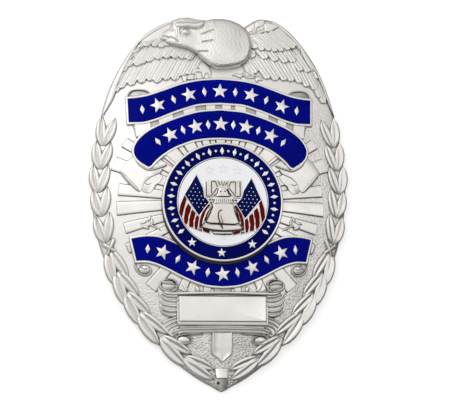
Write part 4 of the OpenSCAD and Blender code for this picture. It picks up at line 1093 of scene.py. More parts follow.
class BADGE_OT_folds(Builds, bpy.types.Operator):
    """Rolls and folded tails of the ribbons, and the small sprigs beside the seal"""

    bl_idname = "badge.folds"
    bl_label = "Folds and curls"

    def build(self):
        made = [strand(points, half, rise, ends=ends) for points, half, rise, ends in FOLD_LINES]
        made += [
            pad(ROLL_OUTER, ROLL_INNER, -0.6, 0.5, n=30, soft=0.2, smooth=False),
            strand(ROLL_EDGE, [0.3, 0.42, 0.4], 0.95, straight=True),
            prism(LOBE, -0.5, 0.5, bevel=0.1, inset=0.95),
            strand(LOW_CURL, 0.2, 0.72, ends=(0.05, 0.2), n=30),
            ball(-16.1, -14.4, 1.3, 0.95, 0.5),
        ]
        for x, y, turn in SPRIG:
            d = heading(90 - turn) * SPRIG_HALF
            made.append(strand([(x, y) + d, (x, y), (x, y) - d], 0.42, 0.6, ends=(0.5, 0.5), n=12, m=9))
        put("ribbon_folds", both(made), "frame_metal")
        # Thin dark threads round the roll and the lobe: painted shade along their edges
        edges = [thread(closed(p, 90), 0.08, 0.1, 0.16) for p in (ROLL_OUTER + ROLL_INNER[::-1], LOBE)]
        put("fold_outlines", both(edges), "hollow_metal")
        hollow = prism(ROLL_HOLLOW, -0.3, 0.42, bevel=0.05, inset=0.95)
        put("roll_hollows", both([hollow]), "shaded_metal")


# Upper and lower edge of each ribbon
RIBBONS = {
    "top": (TOP_UPPER, TOP_LOWER),
    "middle": (MIDDLE_UPPER, MIDDLE_LOWER),
    "bottom": (BOTTOM_UPPER, BOTTOM_LOWER),
}
# Marks along a ribbon, as shares of its half length: stars at the odd places, lozenges between
MARK_SHARES = np.array([-0.85, -0.68, -0.51, -0.34, -0.17, 0, 0.17, 0.34, 0.51, 0.68, 0.85])


def half_ribbon(points, offset=0.0):
    """A ribbon's whole edge from its right half, moved sideways by an offset."""
    right = curve(points, np.linspace(0, 1, 40))
    right = right + sides(right) * offset
    return np.concatenate([(right * [-1, 1])[:0:-1], right])


def star(r, turn=0.0):
    """Outline of a star with five points."""
    a = np.radians(36 * np.arange(10) + turn)
    q = np.where(np.arange(10) % 2 == 0, r, r * 0.42)
    return np.stack([-q * np.sin(a), q * np.cos(a)], -1)


def ribbon_marks(upper, lower):
    """Stars and lozenges along the middle of a ribbon, turned with it."""
    u = np.linspace(0, 1, 60)
    middle = 0.5 * (curve(upper, u) + curve(lower, u))
    rising = np.maximum.accumulate(middle[:, 0])
    x = MARK_SHARES * middle[:, 0].max()
    y, ahead = (np.interp(np.abs(x) + step, rising, middle[:, 1]) for step in (0, 0.3))
    turns = np.degrees(np.arctan2((ahead - y) * np.sign(x + 1e-9), 0.3))
    r, top = mm("star_radius"), mm("rim_rise") + 0.03
    made = []
    for k, (place, turn) in enumerate(zip(np.stack([x, y], -1), turns)):
        mark = star(r, turn) if k % 2 else ellipse(0, 0, 0.3 * r, 0.62 * r, turn, 4)
        made.append(prism(mark + place, -0.1, top, bevel=0.08, inset=0.8, peak=0.05))
    return made


class BADGE_OT_ribbons(Builds, bpy.types.Operator):
    """Metal trays of the three ribbons, with their rims and their generic marks"""

    bl_idname = "badge.ribbons"
    bl_label = "Ribbon trays"

    def build(self):
        half, rise = mm("rim_width") / 2, mm("rim_rise")
        left = [(half, -0.6), (half, rise - 0.18), (half * 0.8, rise - 0.05), (half * 0.35, rise)]
        profile = left + [(-x, z) for x, z in left[::-1]]
        for name, (upper, lower) in RIBBONS.items():
            top, bottom = half_ribbon(upper, half), half_ribbon(lower, -half)
            path = np.concatenate([top, bottom[::-1]])
            path[[0, -1], 0] -= half
            path[[len(top) - 1, len(top)], 0] += half
            shapes = [sweep(path[::-1], profile), pad(top, bottom, -0.6, rise - 0.6, n=60, smooth=False)]
            put(f"ribbon_tray_{name}", shapes + ribbon_marks(upper, lower), "plated_metal", crease=45)


class BADGE_OT_ribbon_enamel(Builds, bpy.types.Operator):
    """Blue enamel of the three ribbons"""

    bl_idname = "badge.ribbon_enamel"
    bl_label = "Ribbon enamel"

    def build(self):
        for name, (upper, lower) in RIBBONS.items():
            shape = pad(half_ribbon(upper, -0.03), half_ribbon(lower, 0.03), mm("rim_rise") - 0.5,
                        mm("rim_rise") - 0.04, n=90, soft=0.03, belly=-0.07, smooth=False)
            put(f"ribbon_glaze_{name}", [shape], "blue_enamel", (f"enamel_ribbon_{name}",))


# Centre lines of the frame's ridges on the left: beside the plate and below it
SIDE_RIDGES = [
    [(-12.5, -19.5), (-11.5, -20.0), (-10.5, -20.2), (-9.4, -20.2)],
    [(-12.85, -19.5), (-12.5, -20.3), (-11.6, -20.9), (-10.5, -21.1), (-9.4, -21.05)],
    [(-12.85, -20.9), (-12.4, -21.6), (-11.5, -22.0), (-10.5, -22.15), (-9.4, -22.1)],
    [(-12.8, -22.0), (-12.2, -22.75), (-11.3, -23.1), (-10.4, -23.2), (-9.4, -23.1)],
    [(-12.7, -22.9), (-12.1, -23.6), (-11.2, -24.0), (-10.3, -24.1), (-9.6, -24.0)],
]
LOW_RIDGES = [
    [(-9.5, -24.5), (-11.0, -25.0), (-12.0, -25.6), (-12.25, -26.1)],
    [(-9.5, -25.25), (-10.7, -25.7), (-11.6, -26.3), (-11.8, -26.8)],
    [(-9.5, -26.0), (-10.5, -26.4), (-11.1, -27.0), (-11.1, -27.5)],
    [(-9.0, -26.5), (-9.9, -27.0), (-10.4, -27.7), (-10.3, -28.2)],
]
# Height of the plate's middle, and its frame's edges, scrolls and cross bars
NUMBER_Y = -23.005
FRAME_UPPER = [
    (-12.9, -17.8), (-13.4, -18.7), (-13.1, -20.0), (-13.0, -21.6), (-12.8, -23.0), (-12.1, -23.8),
    (-11.0, -24.3),
]
FRAME_LOWER = [(-12.4, -25.3), (-12.2, -26.5), (-11.4, -27.6), (-10.5, -28.4)]
SCROLL_UPPER = [
    (-9.6, -17.9), (-9.7, -17.2), (-10.5, -16.75), (-11.6, -16.7), (-12.6, -17.1), (-13.0, -17.8),
    (-12.7, -18.5), (-11.8, -19.0), (-10.6, -19.2), (-9.7, -18.9), (-9.6, -18.3), (-10.2, -17.8),
    (-11.0, -17.95),
]
SCROLL_LOWER = [
    (-4.0, -28.0), (-7.4, -28.0), (-9.0, -28.2), (-9.6, -28.9), (-9.3, -29.6), (-8.3, -30.0),
    (-7.1, -29.85), (-6.4, -29.3), (-6.6, -28.75), (-7.2, -28.65), (-7.5, -29.0),
]
# Right halves of the bars that cross the middle line
BAR_OVER = [(0, -19.6), (9.4, -19.65), (11.0, -19.55), (12.4, -19.2)]
BAR_UNDER = [(0, -26.95), (6.0, -26.95), (8.6, -27.0), (9.8, -27.4), (10.1, -28.0)]
BAR_LOWEST = [(0, -27.5), (7.0, -27.5), (8.6, -27.65), (9.4, -28.0)]


def across(half):
    """A line over the middle from its right half."""
    return [(-x, y) for x, y in half[:0:-1]] + half


def hollow_facets(v):
    """Two facets that meet in a valley along the middle, inside a low rim."""
    return np.where(np.abs(v) > 0.86, 0.9 * (1 - np.abs(v)) / 0.14, 0.1 + 0.85 * np.abs(v) ** 1.6)


class BADGE_OT_number_frame(Builds, bpy.types.Operator):
    """Scrolled frame of the number plate, the small shield under it and the knob at the tip"""

    bl_idname = "badge.number_frame"
    bl_label = "Number frame"

    def build(self):
        made = [strand(p, [0.26, 0.34, 0.36], [0.75, 0.9, 0.9], ends=(0.08, 0), n=24) for p in SIDE_RIDGES]
        made += [strand(p, 0.3, [0.9, 0.85, 0.6], ends=(0, 0.2), n=20) for p in LOW_RIDGES]
        beside = [(-9.4, y) for y in (-17.8, -18.8, -20.0, -21.6, -23.0, -23.8, -24.3)]
        made += [
            pad(FRAME_UPPER, beside, -0.5, 0.4, n=40),
            pad(FRAME_LOWER, [(-9.0, -24.3), (-9.0, -25.4), (-8.9, -26.4), (-8.8, -27.3)], -0.5, 0.5, n=30),
            strand(SCROLL_UPPER, [0.2, 0.22, 0.24, 0.26, 0.28, 0.3, 0.3, 0.28, 0.24, 0.22, 0.2, 0.18], 1.05,
                   ends=(0.04, 0.06), n=64),
            ball(-11.3, -17.95, 1.8, 1.25, 0.92),
            strand(SCROLL_LOWER, [0.16, 0.2, 0.2, 0.2, 0.2, 0.2, 0.18, 0.16, 0.14], [0.5, 0.8, 0.9, 0.95],
                   ends=(0.1, 0.05), n=72),
            ball(-8.1, -29.2, 1.6, 0.98, 0.8),
        ]
        middle = [
            pad(across([(0, -26.1), (9.2, -26.1)]), across([(0, -27.8), (9.2, -27.8)]), -0.5, 0.5, n=60),
            strand(across(BAR_OVER), 0.34, 0.95, ends=(0.04, 0.04), n=60, form=flat_form),
            strand(across(BAR_UNDER), 0.26, 1.0, ends=(0.03, 0.03), n=80, form=flat_form),
            strand(across(BAR_LOWEST), 0.26, 0.62, ends=(0.03, 0.03), n=70),
        ]
        hollow = prism(ellipse(-11.45, -17.4, 1.15, 0.42, -4, 24), -0.3, 1.02, bevel=0.03, inset=0.92)
        put("volute_hollows", both([hollow]), "shaded_metal")
        put("number_frame", [*both(made), *middle], "frame_metal")
        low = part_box("number_plate")[0].z * 1000
        steps = [(-0.2, 3.4), (-0.2, low - 0.12), (0.0, low - 0.06), (0.4, low - 0.06)]
        seat = block(0, NUMBER_Y, mm("number_width") / 2, mm("number_height") / 2, steps)
        put("number_seat", [seat], "plated_metal")

        wide = np.concatenate([np.full(14, 2.25), np.linspace(2.1, 0.05, 6)])
        shield = strand([(-0.1, -27.8), (-0.1, -33.75)], wide, [1.2, 1.2, 1.2, 1.05, 0.5], ends=(0, 0),
                        n=34, m=21, form=hollow_facets, edge=0.1)
        left = [(-1.5, -35.2), (-1.45, -36.2), (-1.3, -37.2)]
        right = [(1.2, -35.2), (1.15, -36.2), (1.0, -37.2)]
        neck = pad(left, right, -0.5, [0.95, 1.5, 1.9], n=16, soft=0.2, belly=0.05)
        knob = strand([(-0.15, -36.9), (-0.1, -38.2), (0, -39.5)], [1.3, 1.5, 0.4], [0.85, 0.5, 0.12],
                      ends=(0.03, 0), n=16, m=17, edge=0.5)
        put("small_shield_and_knob", [shield, neck, knob], "plated_metal", crease=25)
        put("knob_dot", [ball(-0.85, -38.05, 0.36, 0.34, 1.05)], "dark_line")


def in_mm(box):
    """Lower and upper corner of a box in millimetres."""
    return [np.array(c) * 1000 for c in box]


class BADGE_OT_number_plate(Builds, bpy.types.Operator):
    """Blank polished number plate with soft bevels"""

    bl_idname = "badge.number_plate"
    bl_label = "Number plate"

    def build(self):
        lower, upper = in_mm(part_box("number_plate"))
        x, y = (lower + upper)[:2] / 2
        w, h = (upper - lower)[:2] / 2
        bottom, top = lower[2], upper[2]
        steps = [(0.1, bottom), (0.1, top - 0.3), (0.14, top - 0.2), (0.26, top - 0.06),
                 (0.34, top - 0.02), (0.44, top)]
        plate = block(x, y, w, h, steps)
        put("number_plate_polished", [plate], "polished_plate", ("number_plate",),
            crease=60)
        # The sloping skirt below it: sections of (distance over the lower edge, level)
        section = np.array([(0.3, bottom - 0.4), (0.3, top - 0.28), (-0.05, top - 0.32),
                            (-0.42, top - 0.46), (-0.5, bottom - 0.4)]) + [lower[1], 0]
        ends = (-w - 0.15, -w + 0.05, w - 0.05, w + 0.15)
        skirt = np.stack([np.column_stack([np.full(len(section), x), section]) for x in ends])
        put("number_plate_skirt", [loft(skirt)], "plated_metal", crease=20)


# Enamels of the right flag, in hundredths of the seal's radius from its middle
CANTON = [(45.2, 41.6), (62.2, 8.0), (38.0, -25.2), (23.0, -1.5), (32.0, 8.0), (34.0, 19.5)]
STRIPES = [
    [(63.5, 6.5), (59.5, 0.0), (63, -14), (66, -31), (71, -22), (68.5, -9)],
    [(57, -7), (51.5, -14), (54.5, -27), (56.5, -42), (62, -38.5), (62.5, -31), (61, -17)],
    [(50, -16.5), (44, -22.5), (46, -33), (46.5, -46), (53.5, -44.5), (53.5, -29)],
    [(42, -25.5), (37.5, -29), (39, -37), (39.5, -49), (44, -47.5), (45, -36)],
    [(38, -47.5), (32.5, -48), (33, -51.5), (38, -50)], [(30.5, -46.8), (20, -49), (20, -54), (29, -51.5)],
]
# The curved stripes beside the bell: left edge, right edge
CURVED_STRIPES = [
    ([(19.5, -8.5), (26.5, -18), (30.5, -30), (32.0, -41), (34.0, -47)],
     [(22.5, -5.0), (30.5, -15.5), (35.0, -27), (36.8, -37), (37.0, -46.5)]),
    ([(18.8, -11.5), (22.0, -20), (26.0, -31), (28.0, -36)],
     [(19.5, -11.0), (25.0, -20), (28.4, -29), (29.0, -36)]),
]
# How far the flags are turned with the seal, in degrees
FLAG_TURN = -3.2
# Dark lines of the bell and its frame: places, half width
SEAL_LINES = [
    ([(-3.45, 3.5), (-3.45, 0.35), (-2.6, 0.3)], 0.12), ([(-2.35, 3.5), (-2.35, 0.9)], 0.12),
    ([(-2.3, 3.55), (-1.5, 3.5), (-1.1, 2.3)], 0.11), ([(-1.15, 2.15), (-1.8, 1.2), (-2.5, 0.35)], 0.11),
    ([(-1.0, 1.9), (-1.1, 1.1), (-1.8, 0.4)], 0.09), ([(3.65, 3.4), (3.65, 0.3), (2.8, 0.25)], 0.13),
    ([(2.7, 3.4), (2.7, 0.8)], 0.1), ([(2.7, 3.4), (1.7, 3.4), (1.25, 2.3)], 0.11),
    ([(1.25, 2.2), (2.0, 1.2), (2.7, 0.3)], 0.11), ([(1.0, 1.9), (1.3, 1.1), (1.75, 0.5)], 0.2),
    ([(-0.85, 3.5), (-0.45, 2.6)], 0.09), ([(-0.2, 3.5), (-0.05, 2.6)], 0.08),
    ([(0.4, 3.5), (0.2, 2.6)], 0.08), ([(0.95, 3.4), (0.55, 2.6)], 0.09),
    ([(-1.3, 0.3), (0, 0.25), (1.5, 0.3)], 0.08), ([(-1.7, -1.05), (0, -1.08), (2.1, -1.05)], 0.13),
    ([(-1.75, -0.2), (-1.8, -0.9)], 0.08), ([(2.1, -0.2), (2.15, -0.9)], 0.1),
    ([(-2.9, -0.35), (-2.3, -0.5), (-2.0, -0.3)], 0.12), ([(-2.65, -0.95), (-2.2, -1.5)], 0.1),
    ([(3.0, -0.5), (2.4, -0.4)], 0.1), ([(-2.2, -1.6), (-2.9, -3.4), (-3.7, -5.0)], 0.09),
    ([(2.5, -1.6), (3.05, -3.4), (3.45, -5.1)], 0.09),
    ([(-3.75, -5.15), (-2.6, -5.45), (0, -5.6), (2.2, -5.65), (3.4, -5.4)], 0.12),
    ([(-4.7, -6.2), (-3.4, -6.65), (-2.2, -6.95), (0, -7.05), (2.2, -7.0), (4.1, -6.75)], 0.12),
    ([(-4.7, -6.05), (-3.9, -5.3)], 0.08), ([(4.15, -6.6), (3.6, -5.6)], 0.08),
    ([(-2.3, -7.05), (-2.0, -7.7), (0, -7.8), (1.8, -7.75), (2.0, -7.1)], 0.09),
    ([(0.3, -7.1), (0.35, -7.9)], 0.12),
    ([(-0.1, -2.65), (-0.6, -2.7), (-1.0, -3.2), (-1.05, -4.1), (-0.75, -5.1), (-0.45, -5.9),
      (-0.05, -6.6)], 0.17),
    ([(-0.5, -3.6), (-0.35, -4.4), (-0.05, -5.4)], 0.07),
]

# Levels on the seal count from its top. The floor under the ring's enamel
FLOOR_LEVEL = -0.46
# The seal's rim: distance past its edge, level. Then the thin rim inside the ring, the dark disc
# under the seal that paints the shadow below its lower edge, and the white field: radius, level
OUTER_RIM = [
    (-0.3, -1.5), (0, -1.3), (0, -0.22), (-0.05, -0.1), (-0.16, -0.02), (-0.28, 0), (-0.42, -0.03),
    (-0.52, -0.14), (-0.55, FLOOR_LEVEL),
]
INNER_RIM = [
    (9.62, FLOOR_LEVEL), (9.6, -0.08), (9.55, 0), (9.47, 0.03), (9.4, 0), (9.36, -0.08),
    (9.34, FLOOR_LEVEL),
]
SEAL_SHADOW_DISC = [(0.02, -2.5), (12.6, -2.5), (12.6, -1.3), (12.5, -1.2), (0.02, -1.2)]
WHITE_FIELD = [(0.02, -0.4), (9.28, -0.4), (9.28, -0.04), (8.9, -0.02), (0.02, -0.02)]
# Radius of the middle of the ring
RING_RADIUS = 10.85


def on_seal(points):
    """Places in hundredths of the seal's radius, moved to the seal."""
    return np.asarray(points, float) * mm("seal_diameter") / 200 + SEAL


def placed(points, side):
    """Places of a flag's table on the right (1) or the left (-1) flag, turned with the seal."""
    a = np.radians(FLAG_TURN)
    flat = on_seal(np.asarray(points, float) * (side, 1)) - SEAL
    return flat @ np.array([[np.cos(a), np.sin(a)], [-np.sin(a), np.cos(a)]]) + SEAL


def grown(line, by):
    """An outline moved outwards from its middle."""
    out = line - line.mean(0)
    return line + out / np.linalg.norm(out, axis=1, keepdims=True) * by


def turned(profile, aside=0.0):
    """A profile of (radius, level under the seal's top) turned round the seal's middle."""
    return lathe(np.array(profile) + [0, mm("seal_top")], (SEAL[0], SEAL[1] + aside))


def raised(points, high, bevel, inset, peak=0.0):
    """A flat-topped form on the seal."""
    return prism(points, -0.3, high, bevel, inset, seal_z, peak)


def bar(points, half, rise, ends=(0.05, 0.05), low=-0.3, **options):
    """A strand on the seal."""
    return strand(points, half, rise, low=low, ends=ends, ground=seal_z, **options)


def bead(x, y, r, rise, n, rings, low=-0.3):
    """A small round or oval bead on the seal."""
    rx, ry = np.broadcast_to(r, 2)
    return ball(x, y, rx, ry, rise, low=low, ground=seal_z, n=n, rings=rings)


def glass(points, side):
    """A flat piece of enamel with soft edges."""
    return raised(grown(placed(points, side), 0.1), 0.02, 0.05, 0.97)


def line_round(points, side, half=0.07, rise=0.09):
    """A thin metal line just outside an outline on the seal."""
    return thread(grown(placed(points, side), 0.1 + half), half, rise * 0.6, rise, -0.4, seal_z)


def canton_dots(side):
    """White dots in offset rows over a canton, kept clear of its edges."""
    x, y = np.meshgrid(np.arange(15.0, 70.0, 6.9), np.arange(-30.0, 45.0, 6.2), indexing="ij")
    x = x + 3.45 * (np.arange(y.shape[1]) % 2)
    x, y = x.ravel(), y.ravel()
    kept = inside(CANTON, x, y) > 2.2
    return placed(np.stack([x[kept], y[kept]], -1), side)


class BADGE_OT_seal(Builds, bpy.types.Operator):
    """The seal's metal: its rim, stars, bell, frame and the lines of the flags"""

    bl_idname = "badge.seal"
    bl_label = "Seal"

    def build(self):
        self.disc()
        self.ring_marks()
        self.flag_lines()
        self.bell()
        self.dark_lines()

    def put_on_disc(self, name, shapes, material, crease=38):
        put(name, shapes, material, nodes=("seal_disc",), crease=crease)

    def disc(self):
        r = mm("seal_diameter") / 2
        steps = [(0.02, -1.5), *((r + d, z) for d, z in OUTER_RIM), *INNER_RIM, (0.02, FLOOR_LEVEL)]
        self.put_on_disc("seal_disc_metal", [turned(steps)], "seal_metal", 50)
        # A dark disc under the seal, moved down, shows below its lower edge as a painted shadow
        self.put_on_disc("seal_washer", [turned(SEAL_SHADOW_DISC, -0.4)], "dark_line", 50)

    def ring_marks(self):
        """Three stars below and beads and lozenges above, along the middle of the ring."""
        marks = []
        for a in (-37, -2, 34):
            marks.append(raised(star(1.0) + SEAL + RING_RADIUS * heading(180 - a), 0.1, 0.05, 0.75, 0.08))
        for k, a in enumerate(np.arange(-126, 127, 7.0)):
            x, y = SEAL + RING_RADIUS * heading(a)
            if k % 2:
                marks.append(bead(x, y, 0.3, 0.12, 14, 4))
            else:
                marks.append(raised(ellipse(x, y, 0.42, 0.85, -a, 4), 0.08, 0.04, 0.8, 0.05))
        self.put_on_disc("seal_ring_marks", marks, "seal_metal")

    def flag_lines(self):
        """Lines round the cantons and stripes, and dots on the cantons."""
        outlines = (CANTON, *STRIPES, *(a + b[::-1] for a, b in CURVED_STRIPES))
        lines = [line_round(p, side) for side in (1, -1) for p in outlines]
        lines += [bead(x, y, 0.145, 0.08, 10, 3, -0.2) for side in (1, -1) for x, y in canton_dots(side)]
        self.put_on_disc("seal_flag_lines", lines, "seal_metal")

    def bell(self):
        """The bell with its yoke, and the frame that it hangs in."""
        post = np.array([(-3.85, 3.8), (-3.9, 0.0), (-2.35, -0.05), (-1.2, 1.0), (-0.9, 2.4), (-1.0, 3.8)])
        crown = [(-1.7, -0.15), (-1.9, -1.2), (2.3, -1.2), (2.1, -0.15)]
        yoke = [(-1.75, 0.2), (-1.0, 1.9), (-1.0, 3.7), (1.0, 3.7), (1.0, 1.9), (1.85, 0.2)]
        body = [(0.1, -1.1), (0.1, -1.9), (0, -3.4), (-0.1, -5.4)]
        lip = [(-4.7, -6.05), (-3.0, -6.15), (0, -6.3), (3.0, -6.25), (4.2, -6.2)]
        shapes = [
            bar(body, [2.1, 2.4, 2.95, 3.6], [0.36, 0.44, 0.46, 0.36], (0.08, 0), n=24, m=21, edge=0.3),
            bar(lip, [0.2, 0.5, 0.62, 0.55, 0.25], [0.2, 0.26, 0.3, 0.26, 0.2], (0.06, 0.06), n=30,
                edge=0.6, form=flat_form),
            bar([(-2.2, -7.35), (0, -7.4), (1.95, -7.35)], 0.36, 0.26, (0.04, 0.04), n=20),
            raised(crown, 0.24, 0.08, 0.94),
            raised(yoke, 0.12, 0.06, 0.95),
            bar([(0, 0.3), (0, 1.2), (0, 2.3)], [1.5, 1.1, 0.6], 0.34, (0.05, 0.2), n=16, m=13),
            bead(-2.3, -0.75, (0.42, 0.34), 0.24, 28, 8), bead(2.55, -0.85, (0.42, 0.34), 0.24, 28, 8),
            raised(post, 0.14, 0.06, 0.95),
            raised(post * (-1, 1) + (0.15, -0.1), 0.14, 0.06, 0.95),
        ]
        self.put_on_disc("seal_bell", shapes, "bell_metal")

    def dark_lines(self):
        """Dark lines over the bell and its frame, higher where they cross the bell."""
        lines = []
        for points, half in SEAL_LINES:
            rise = 0.66 if -6.8 < points[0][1] < -1.5 else 0.26
            lines.append(bar(points, half, rise, (0.04, 0.04), -0.2, n=20, m=7, straight=True))
        lines += [bead(x, 1.35, (0.26, 0.3), 0.42, 16, 4, -0.2) for x in (-0.42, 0.42)]
        for x in np.arange(-1.4, 2.0, 0.42):
            lines.append(bar([(x, -0.3), (x, -0.85)], 0.1, 0.3, (0, 0), -0.2, n=4, m=7))
        self.put_on_disc("seal_dark_lines", lines, "dark_line")


class BADGE_OT_seal_enamel(Builds, bpy.types.Operator):
    """The seal's enamels: navy ring, white field, cantons and stripes"""

    bl_idname = "badge.seal_enamel"
    bl_label = "Seal enamel"

    def build(self):
        top, r = mm("seal_top"), mm("seal_diameter") / 2
        inner, outer = 9.64, r - 0.58
        s = np.linspace(0, 1, 9)
        sagging = np.stack([inner + (outer - inner) * s, top - 0.03 - 0.05 * np.sin(np.pi * s)], -1)
        ring = lathe([*sagging, (outer, top - 0.4), (inner, top - 0.4)], SEAL, around=True)
        put("seal_ring_glaze", [ring], "navy_enamel", ("seal_ring_enamel",))
        put("seal_field_glaze", [turned(WHITE_FIELD)], "white_enamel",
            ("seal_field_enamel",))
        faint = [thread(star(r) + [x, y], 0.09, 0.0, 0.02, ground=seal_z)
                 for x, y, r in ((-2.8, 5.9, 0.95), (0.2, 6.2, 1.0), (3.2, 5.9, 0.95), (0.1, -8.5, 0.5))]
        put("seal_faint_stars", faint, "faint_enamel", ("seal_field_enamel",))
        for name, side in (("right", 1), ("left", -1)):
            canton = [glass(CANTON, side)]
            put(f"canton_glaze_{name}", canton, "canton_blue", (f"canton_enamel_{name}",))
            stripes = [glass(p, side) for p in STRIPES]
            stripes += [pad(placed(a, side), placed(b, side), -0.3, 0.02, n=20, soft=0.04, ground=seal_z)
                        for a, b in CURVED_STRIPES]
            put(f"stripe_glaze_{name}", stripes, "red_enamel", (f"stripe_enamel_{name}",))


# Length of the hinge and catch blocks along the pin, the pin's radius, half length and level
BLOCK_LENGTH = 3.6
PIN_RADIUS, PIN_HALF, PIN_LEVEL = 0.6, 21.0, 1.3


class BADGE_OT_pin(Builds, bpy.types.Operator):
    """Pin at the back, with the hinge block and the catch block"""

    bl_idname = "badge.pin"
    bl_label = "Pin"

    def build(self):
        lower, upper = in_mm(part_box("pin_back"))
        steps = [(0.25, lower[2]), (0.06, lower[2] + 0.06), (0, lower[2] + 0.25), (0, upper[2])]
        h = BLOCK_LENGTH / 2
        shapes = [block(0, sign * (upper[1] - h), upper[0], h, steps, 0.5) for sign in (-1, 1)]
        a = np.linspace(0, 2 * np.pi, 32, endpoint=False)
        y = np.concatenate([[-PIN_HALF], np.linspace(0.4 - PIN_HALF, PIN_HALF - 0.4, 30), [PIN_HALF]])
        r = np.where(np.abs(y) < PIN_HALF, PIN_RADIUS, PIN_RADIUS - 0.2)[:, None]
        y = np.broadcast_to(y[:, None], (len(y), len(a)))
        shapes.append(loft(np.dstack([r * np.cos(a), y, PIN_LEVEL + r * np.sin(a)])))
        put("pin_and_blocks", shapes, "pin_metal", ("pin_back",))


# Softboxes: name, place, size, power in watts
SOFTBOXES = (("softbox_left", (-0.6, 0.5, 0.7), 0.6, 1.2), ("softbox_right", (0.55, 0.0, 0.8), 0.7, 0.7))
# The camera stands to the left of and below the face's normal and is rolled, all in degrees
CAMERA_ANGLES = (6.0, 12.0, 0.766)
# How far to the right and up it looks past the middle, its distance, and the width that it sees, in
# metres, with its sensor's width in millimetres
CAMERA_AIM = (0.001335, 0.00082)
CAMERA_DISTANCE, VIEW_WIDTH, SENSOR_WIDTH = 0.9, 0.09455, 36


def pose(x, y, z, place):
    """A matrix from three axes and a place."""
    return Matrix(np.vstack([np.column_stack([x, y, z, place]), [0, 0, 0, 1]]).tolist())


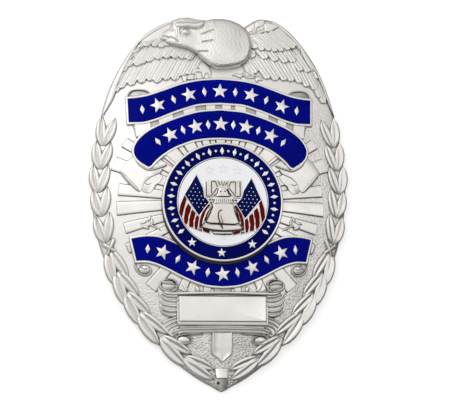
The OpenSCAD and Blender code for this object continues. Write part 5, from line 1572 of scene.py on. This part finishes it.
class BADGE_OT_stage(bpy.types.Operator):
    """Pale floor, even studio light and the camera at the photograph's angle"""

    bl_idname = "badge.stage"
    bl_label = "Stage"

    def execute(self, context):
        context.scene.view_settings.view_transform = "Standard"
        self.floor(context)
        self.sky(context)
        self.lamps(context)
        self.camera(context)
        return {"FINISHED"}

    def floor(self, context):
        """Pale paper to the camera. The badge mirrors a paper that is greyer, more so on the right."""
        v = np.array([(-1, -1, 0), (1, -1, 0), (1, 1, 0), (-1, 1, 0)]) * 1.5
        mesh = bpy.data.meshes.new("floor")
        mesh.from_pydata(v.tolist(), [], [(0, 1, 2, 3)])
        paper = bpy.data.materials.new("floor_paper")
        paper.use_nodes = True
        tree = paper.node_tree
        place = tree.nodes.new("ShaderNodeTexCoord").outputs["Object"]
        tone = finish("floor")
        shade = blend(tree, noise(tree, place, 40.0, 4.0), tone, (*(c * 0.985 for c in tone[:3]), 1))
        shader = tree.nodes["Principled BSDF"]
        shader.inputs["Roughness"].default_value = 0.9
        tree.links.new(shade, shader.inputs["Emission Color"])
        seen = tree.nodes.new("ShaderNodeLightPath").outputs["Is Camera Ray"]
        sideways = node(tree, "ShaderNodeSeparateXYZ", {0: place}).outputs["X"]
        unseen = blend(tree, span(tree, sideways, -0.02, 0.02), (0.7, 0.7, 0.69, 1), (0.2, 0.2, 0.2, 1))
        tree.links.new(blend(tree, seen, unseen, shade), shader.inputs["Base Color"])
        tree.links.new(maths(tree, "MULTIPLY", seen, 0.5), shader.inputs["Emission Strength"])
        mesh.materials.append(paper)
        floor = bpy.data.objects.new("floor", mesh)
        context.collection.objects.link(floor)

    def sky(self, context):
        """Even light: bright overhead and towards the upper left, dim along the horizon."""
        world = bpy.data.worlds.new("studio")
        world.use_nodes = True
        tree = world.node_tree
        way = tree.nodes.new("ShaderNodeTexCoord").outputs["Generated"]
        links = {0: way, 1: (-0.36, 0.51, 0.781)}
        high = node(tree, "ShaderNodeVectorMath", links, operation="DOT_PRODUCT").outputs["Value"]
        bright = maths(tree, "POWER", span(tree, high, -0.08, 0.85, 0.06, 1.0), 0.8)
        back = tree.nodes["Background"]
        tint = blend(tree, bright, (0.0, 0.0, 0.0, 1), (1.0, 0.985, 0.965, 1))
        tree.links.new(tint, back.inputs["Color"])
        back.inputs["Strength"].default_value = finish("sky")
        context.scene.world = world

    def lamps(self, context):
        """Softboxes, each turned towards the badge."""
        for name, place, size, power in SOFTBOXES:
            lamp = bpy.data.lights.new(name, "AREA")
            lamp.size, lamp.energy = size, power
            made = bpy.data.objects.new(name, lamp)
            z = np.array(place) / np.linalg.norm(place)
            x = np.cross((0, 1, 0), z)
            x /= np.linalg.norm(x)
            made.matrix_world = pose(x, np.cross(z, x), z, place)
            context.collection.objects.link(made)

    def camera(self, context):
        """The camera's axes are turned by its angles, and it looks a little past the middle."""
        a, b, roll = np.radians(CAMERA_ANGLES)
        right = np.array([np.cos(a), 0, np.sin(a)])
        up = np.array([-np.sin(a) * np.sin(b), np.cos(b), np.cos(a) * np.sin(b)])
        back = np.array([-np.sin(a) * np.cos(b), -np.sin(b), np.cos(a) * np.cos(b)])
        x = np.cos(roll) * right - np.sin(roll) * up
        y = np.sin(roll) * right + np.cos(roll) * up
        target = np.array([0, 0.0005, 0]) + CAMERA_AIM[0] * right + CAMERA_AIM[1] * up
        data = bpy.data.cameras.new("camera")
        data.sensor_width = SENSOR_WIDTH
        data.lens = SENSOR_WIDTH * CAMERA_DISTANCE / VIEW_WIDTH
        data.clip_start, data.clip_end = 0.05, 20
        made = bpy.data.objects.new("camera", data)
        made.matrix_world = pose(x, y, back, target + back * CAMERA_DISTANCE)
        context.collection.objects.link(made)
        context.scene.camera = made


OPERATORS = (
    BADGE_OT_plate, BADGE_OT_wreath, BADGE_OT_wings, BADGE_OT_eagle, BADGE_OT_rays, BADGE_OT_folds,
    BADGE_OT_ribbons, BADGE_OT_ribbon_enamel, BADGE_OT_number_frame, BADGE_OT_number_plate,
    BADGE_OT_seal, BADGE_OT_seal_enamel, BADGE_OT_pin, BADGE_OT_stage,
)


class BADGE_PT_pieces(bpy.types.Panel):
    """Lists the pieces of the badge"""

    bl_idname = "BADGE_PT_pieces"
    bl_label = "Shield badge"
    bl_space_type = "VIEW_3D"
    bl_region_type = "UI"
    bl_category = "Badge"

    def draw(self, context):
        for made in OPERATORS:
            self.layout.operator(made.bl_idname)
        for group in (context.scene.badge_sizes, context.scene.badge_finish):
            for key in group.__annotations__:
                self.layout.prop(group, key)


CLASSES = (BadgeSizes, BadgeFinish, *OPERATORS, BADGE_PT_pieces)


def register():
    for made in CLASSES:
        bpy.utils.register_class(made)
    bpy.types.Scene.badge_sizes = PointerProperty(type=BadgeSizes)
    bpy.types.Scene.badge_finish = PointerProperty(type=BadgeFinish)


def unregister():
    del bpy.types.Scene.badge_sizes
    del bpy.types.Scene.badge_finish
    for made in reversed(CLASSES):
        bpy.utils.unregister_class(made)


def main():
    register()
    for made in OPERATORS:
        group, name = made.bl_idname.split(".")
        getattr(getattr(bpy.ops, group), name)()


if __name__ == "__main__":
    main()
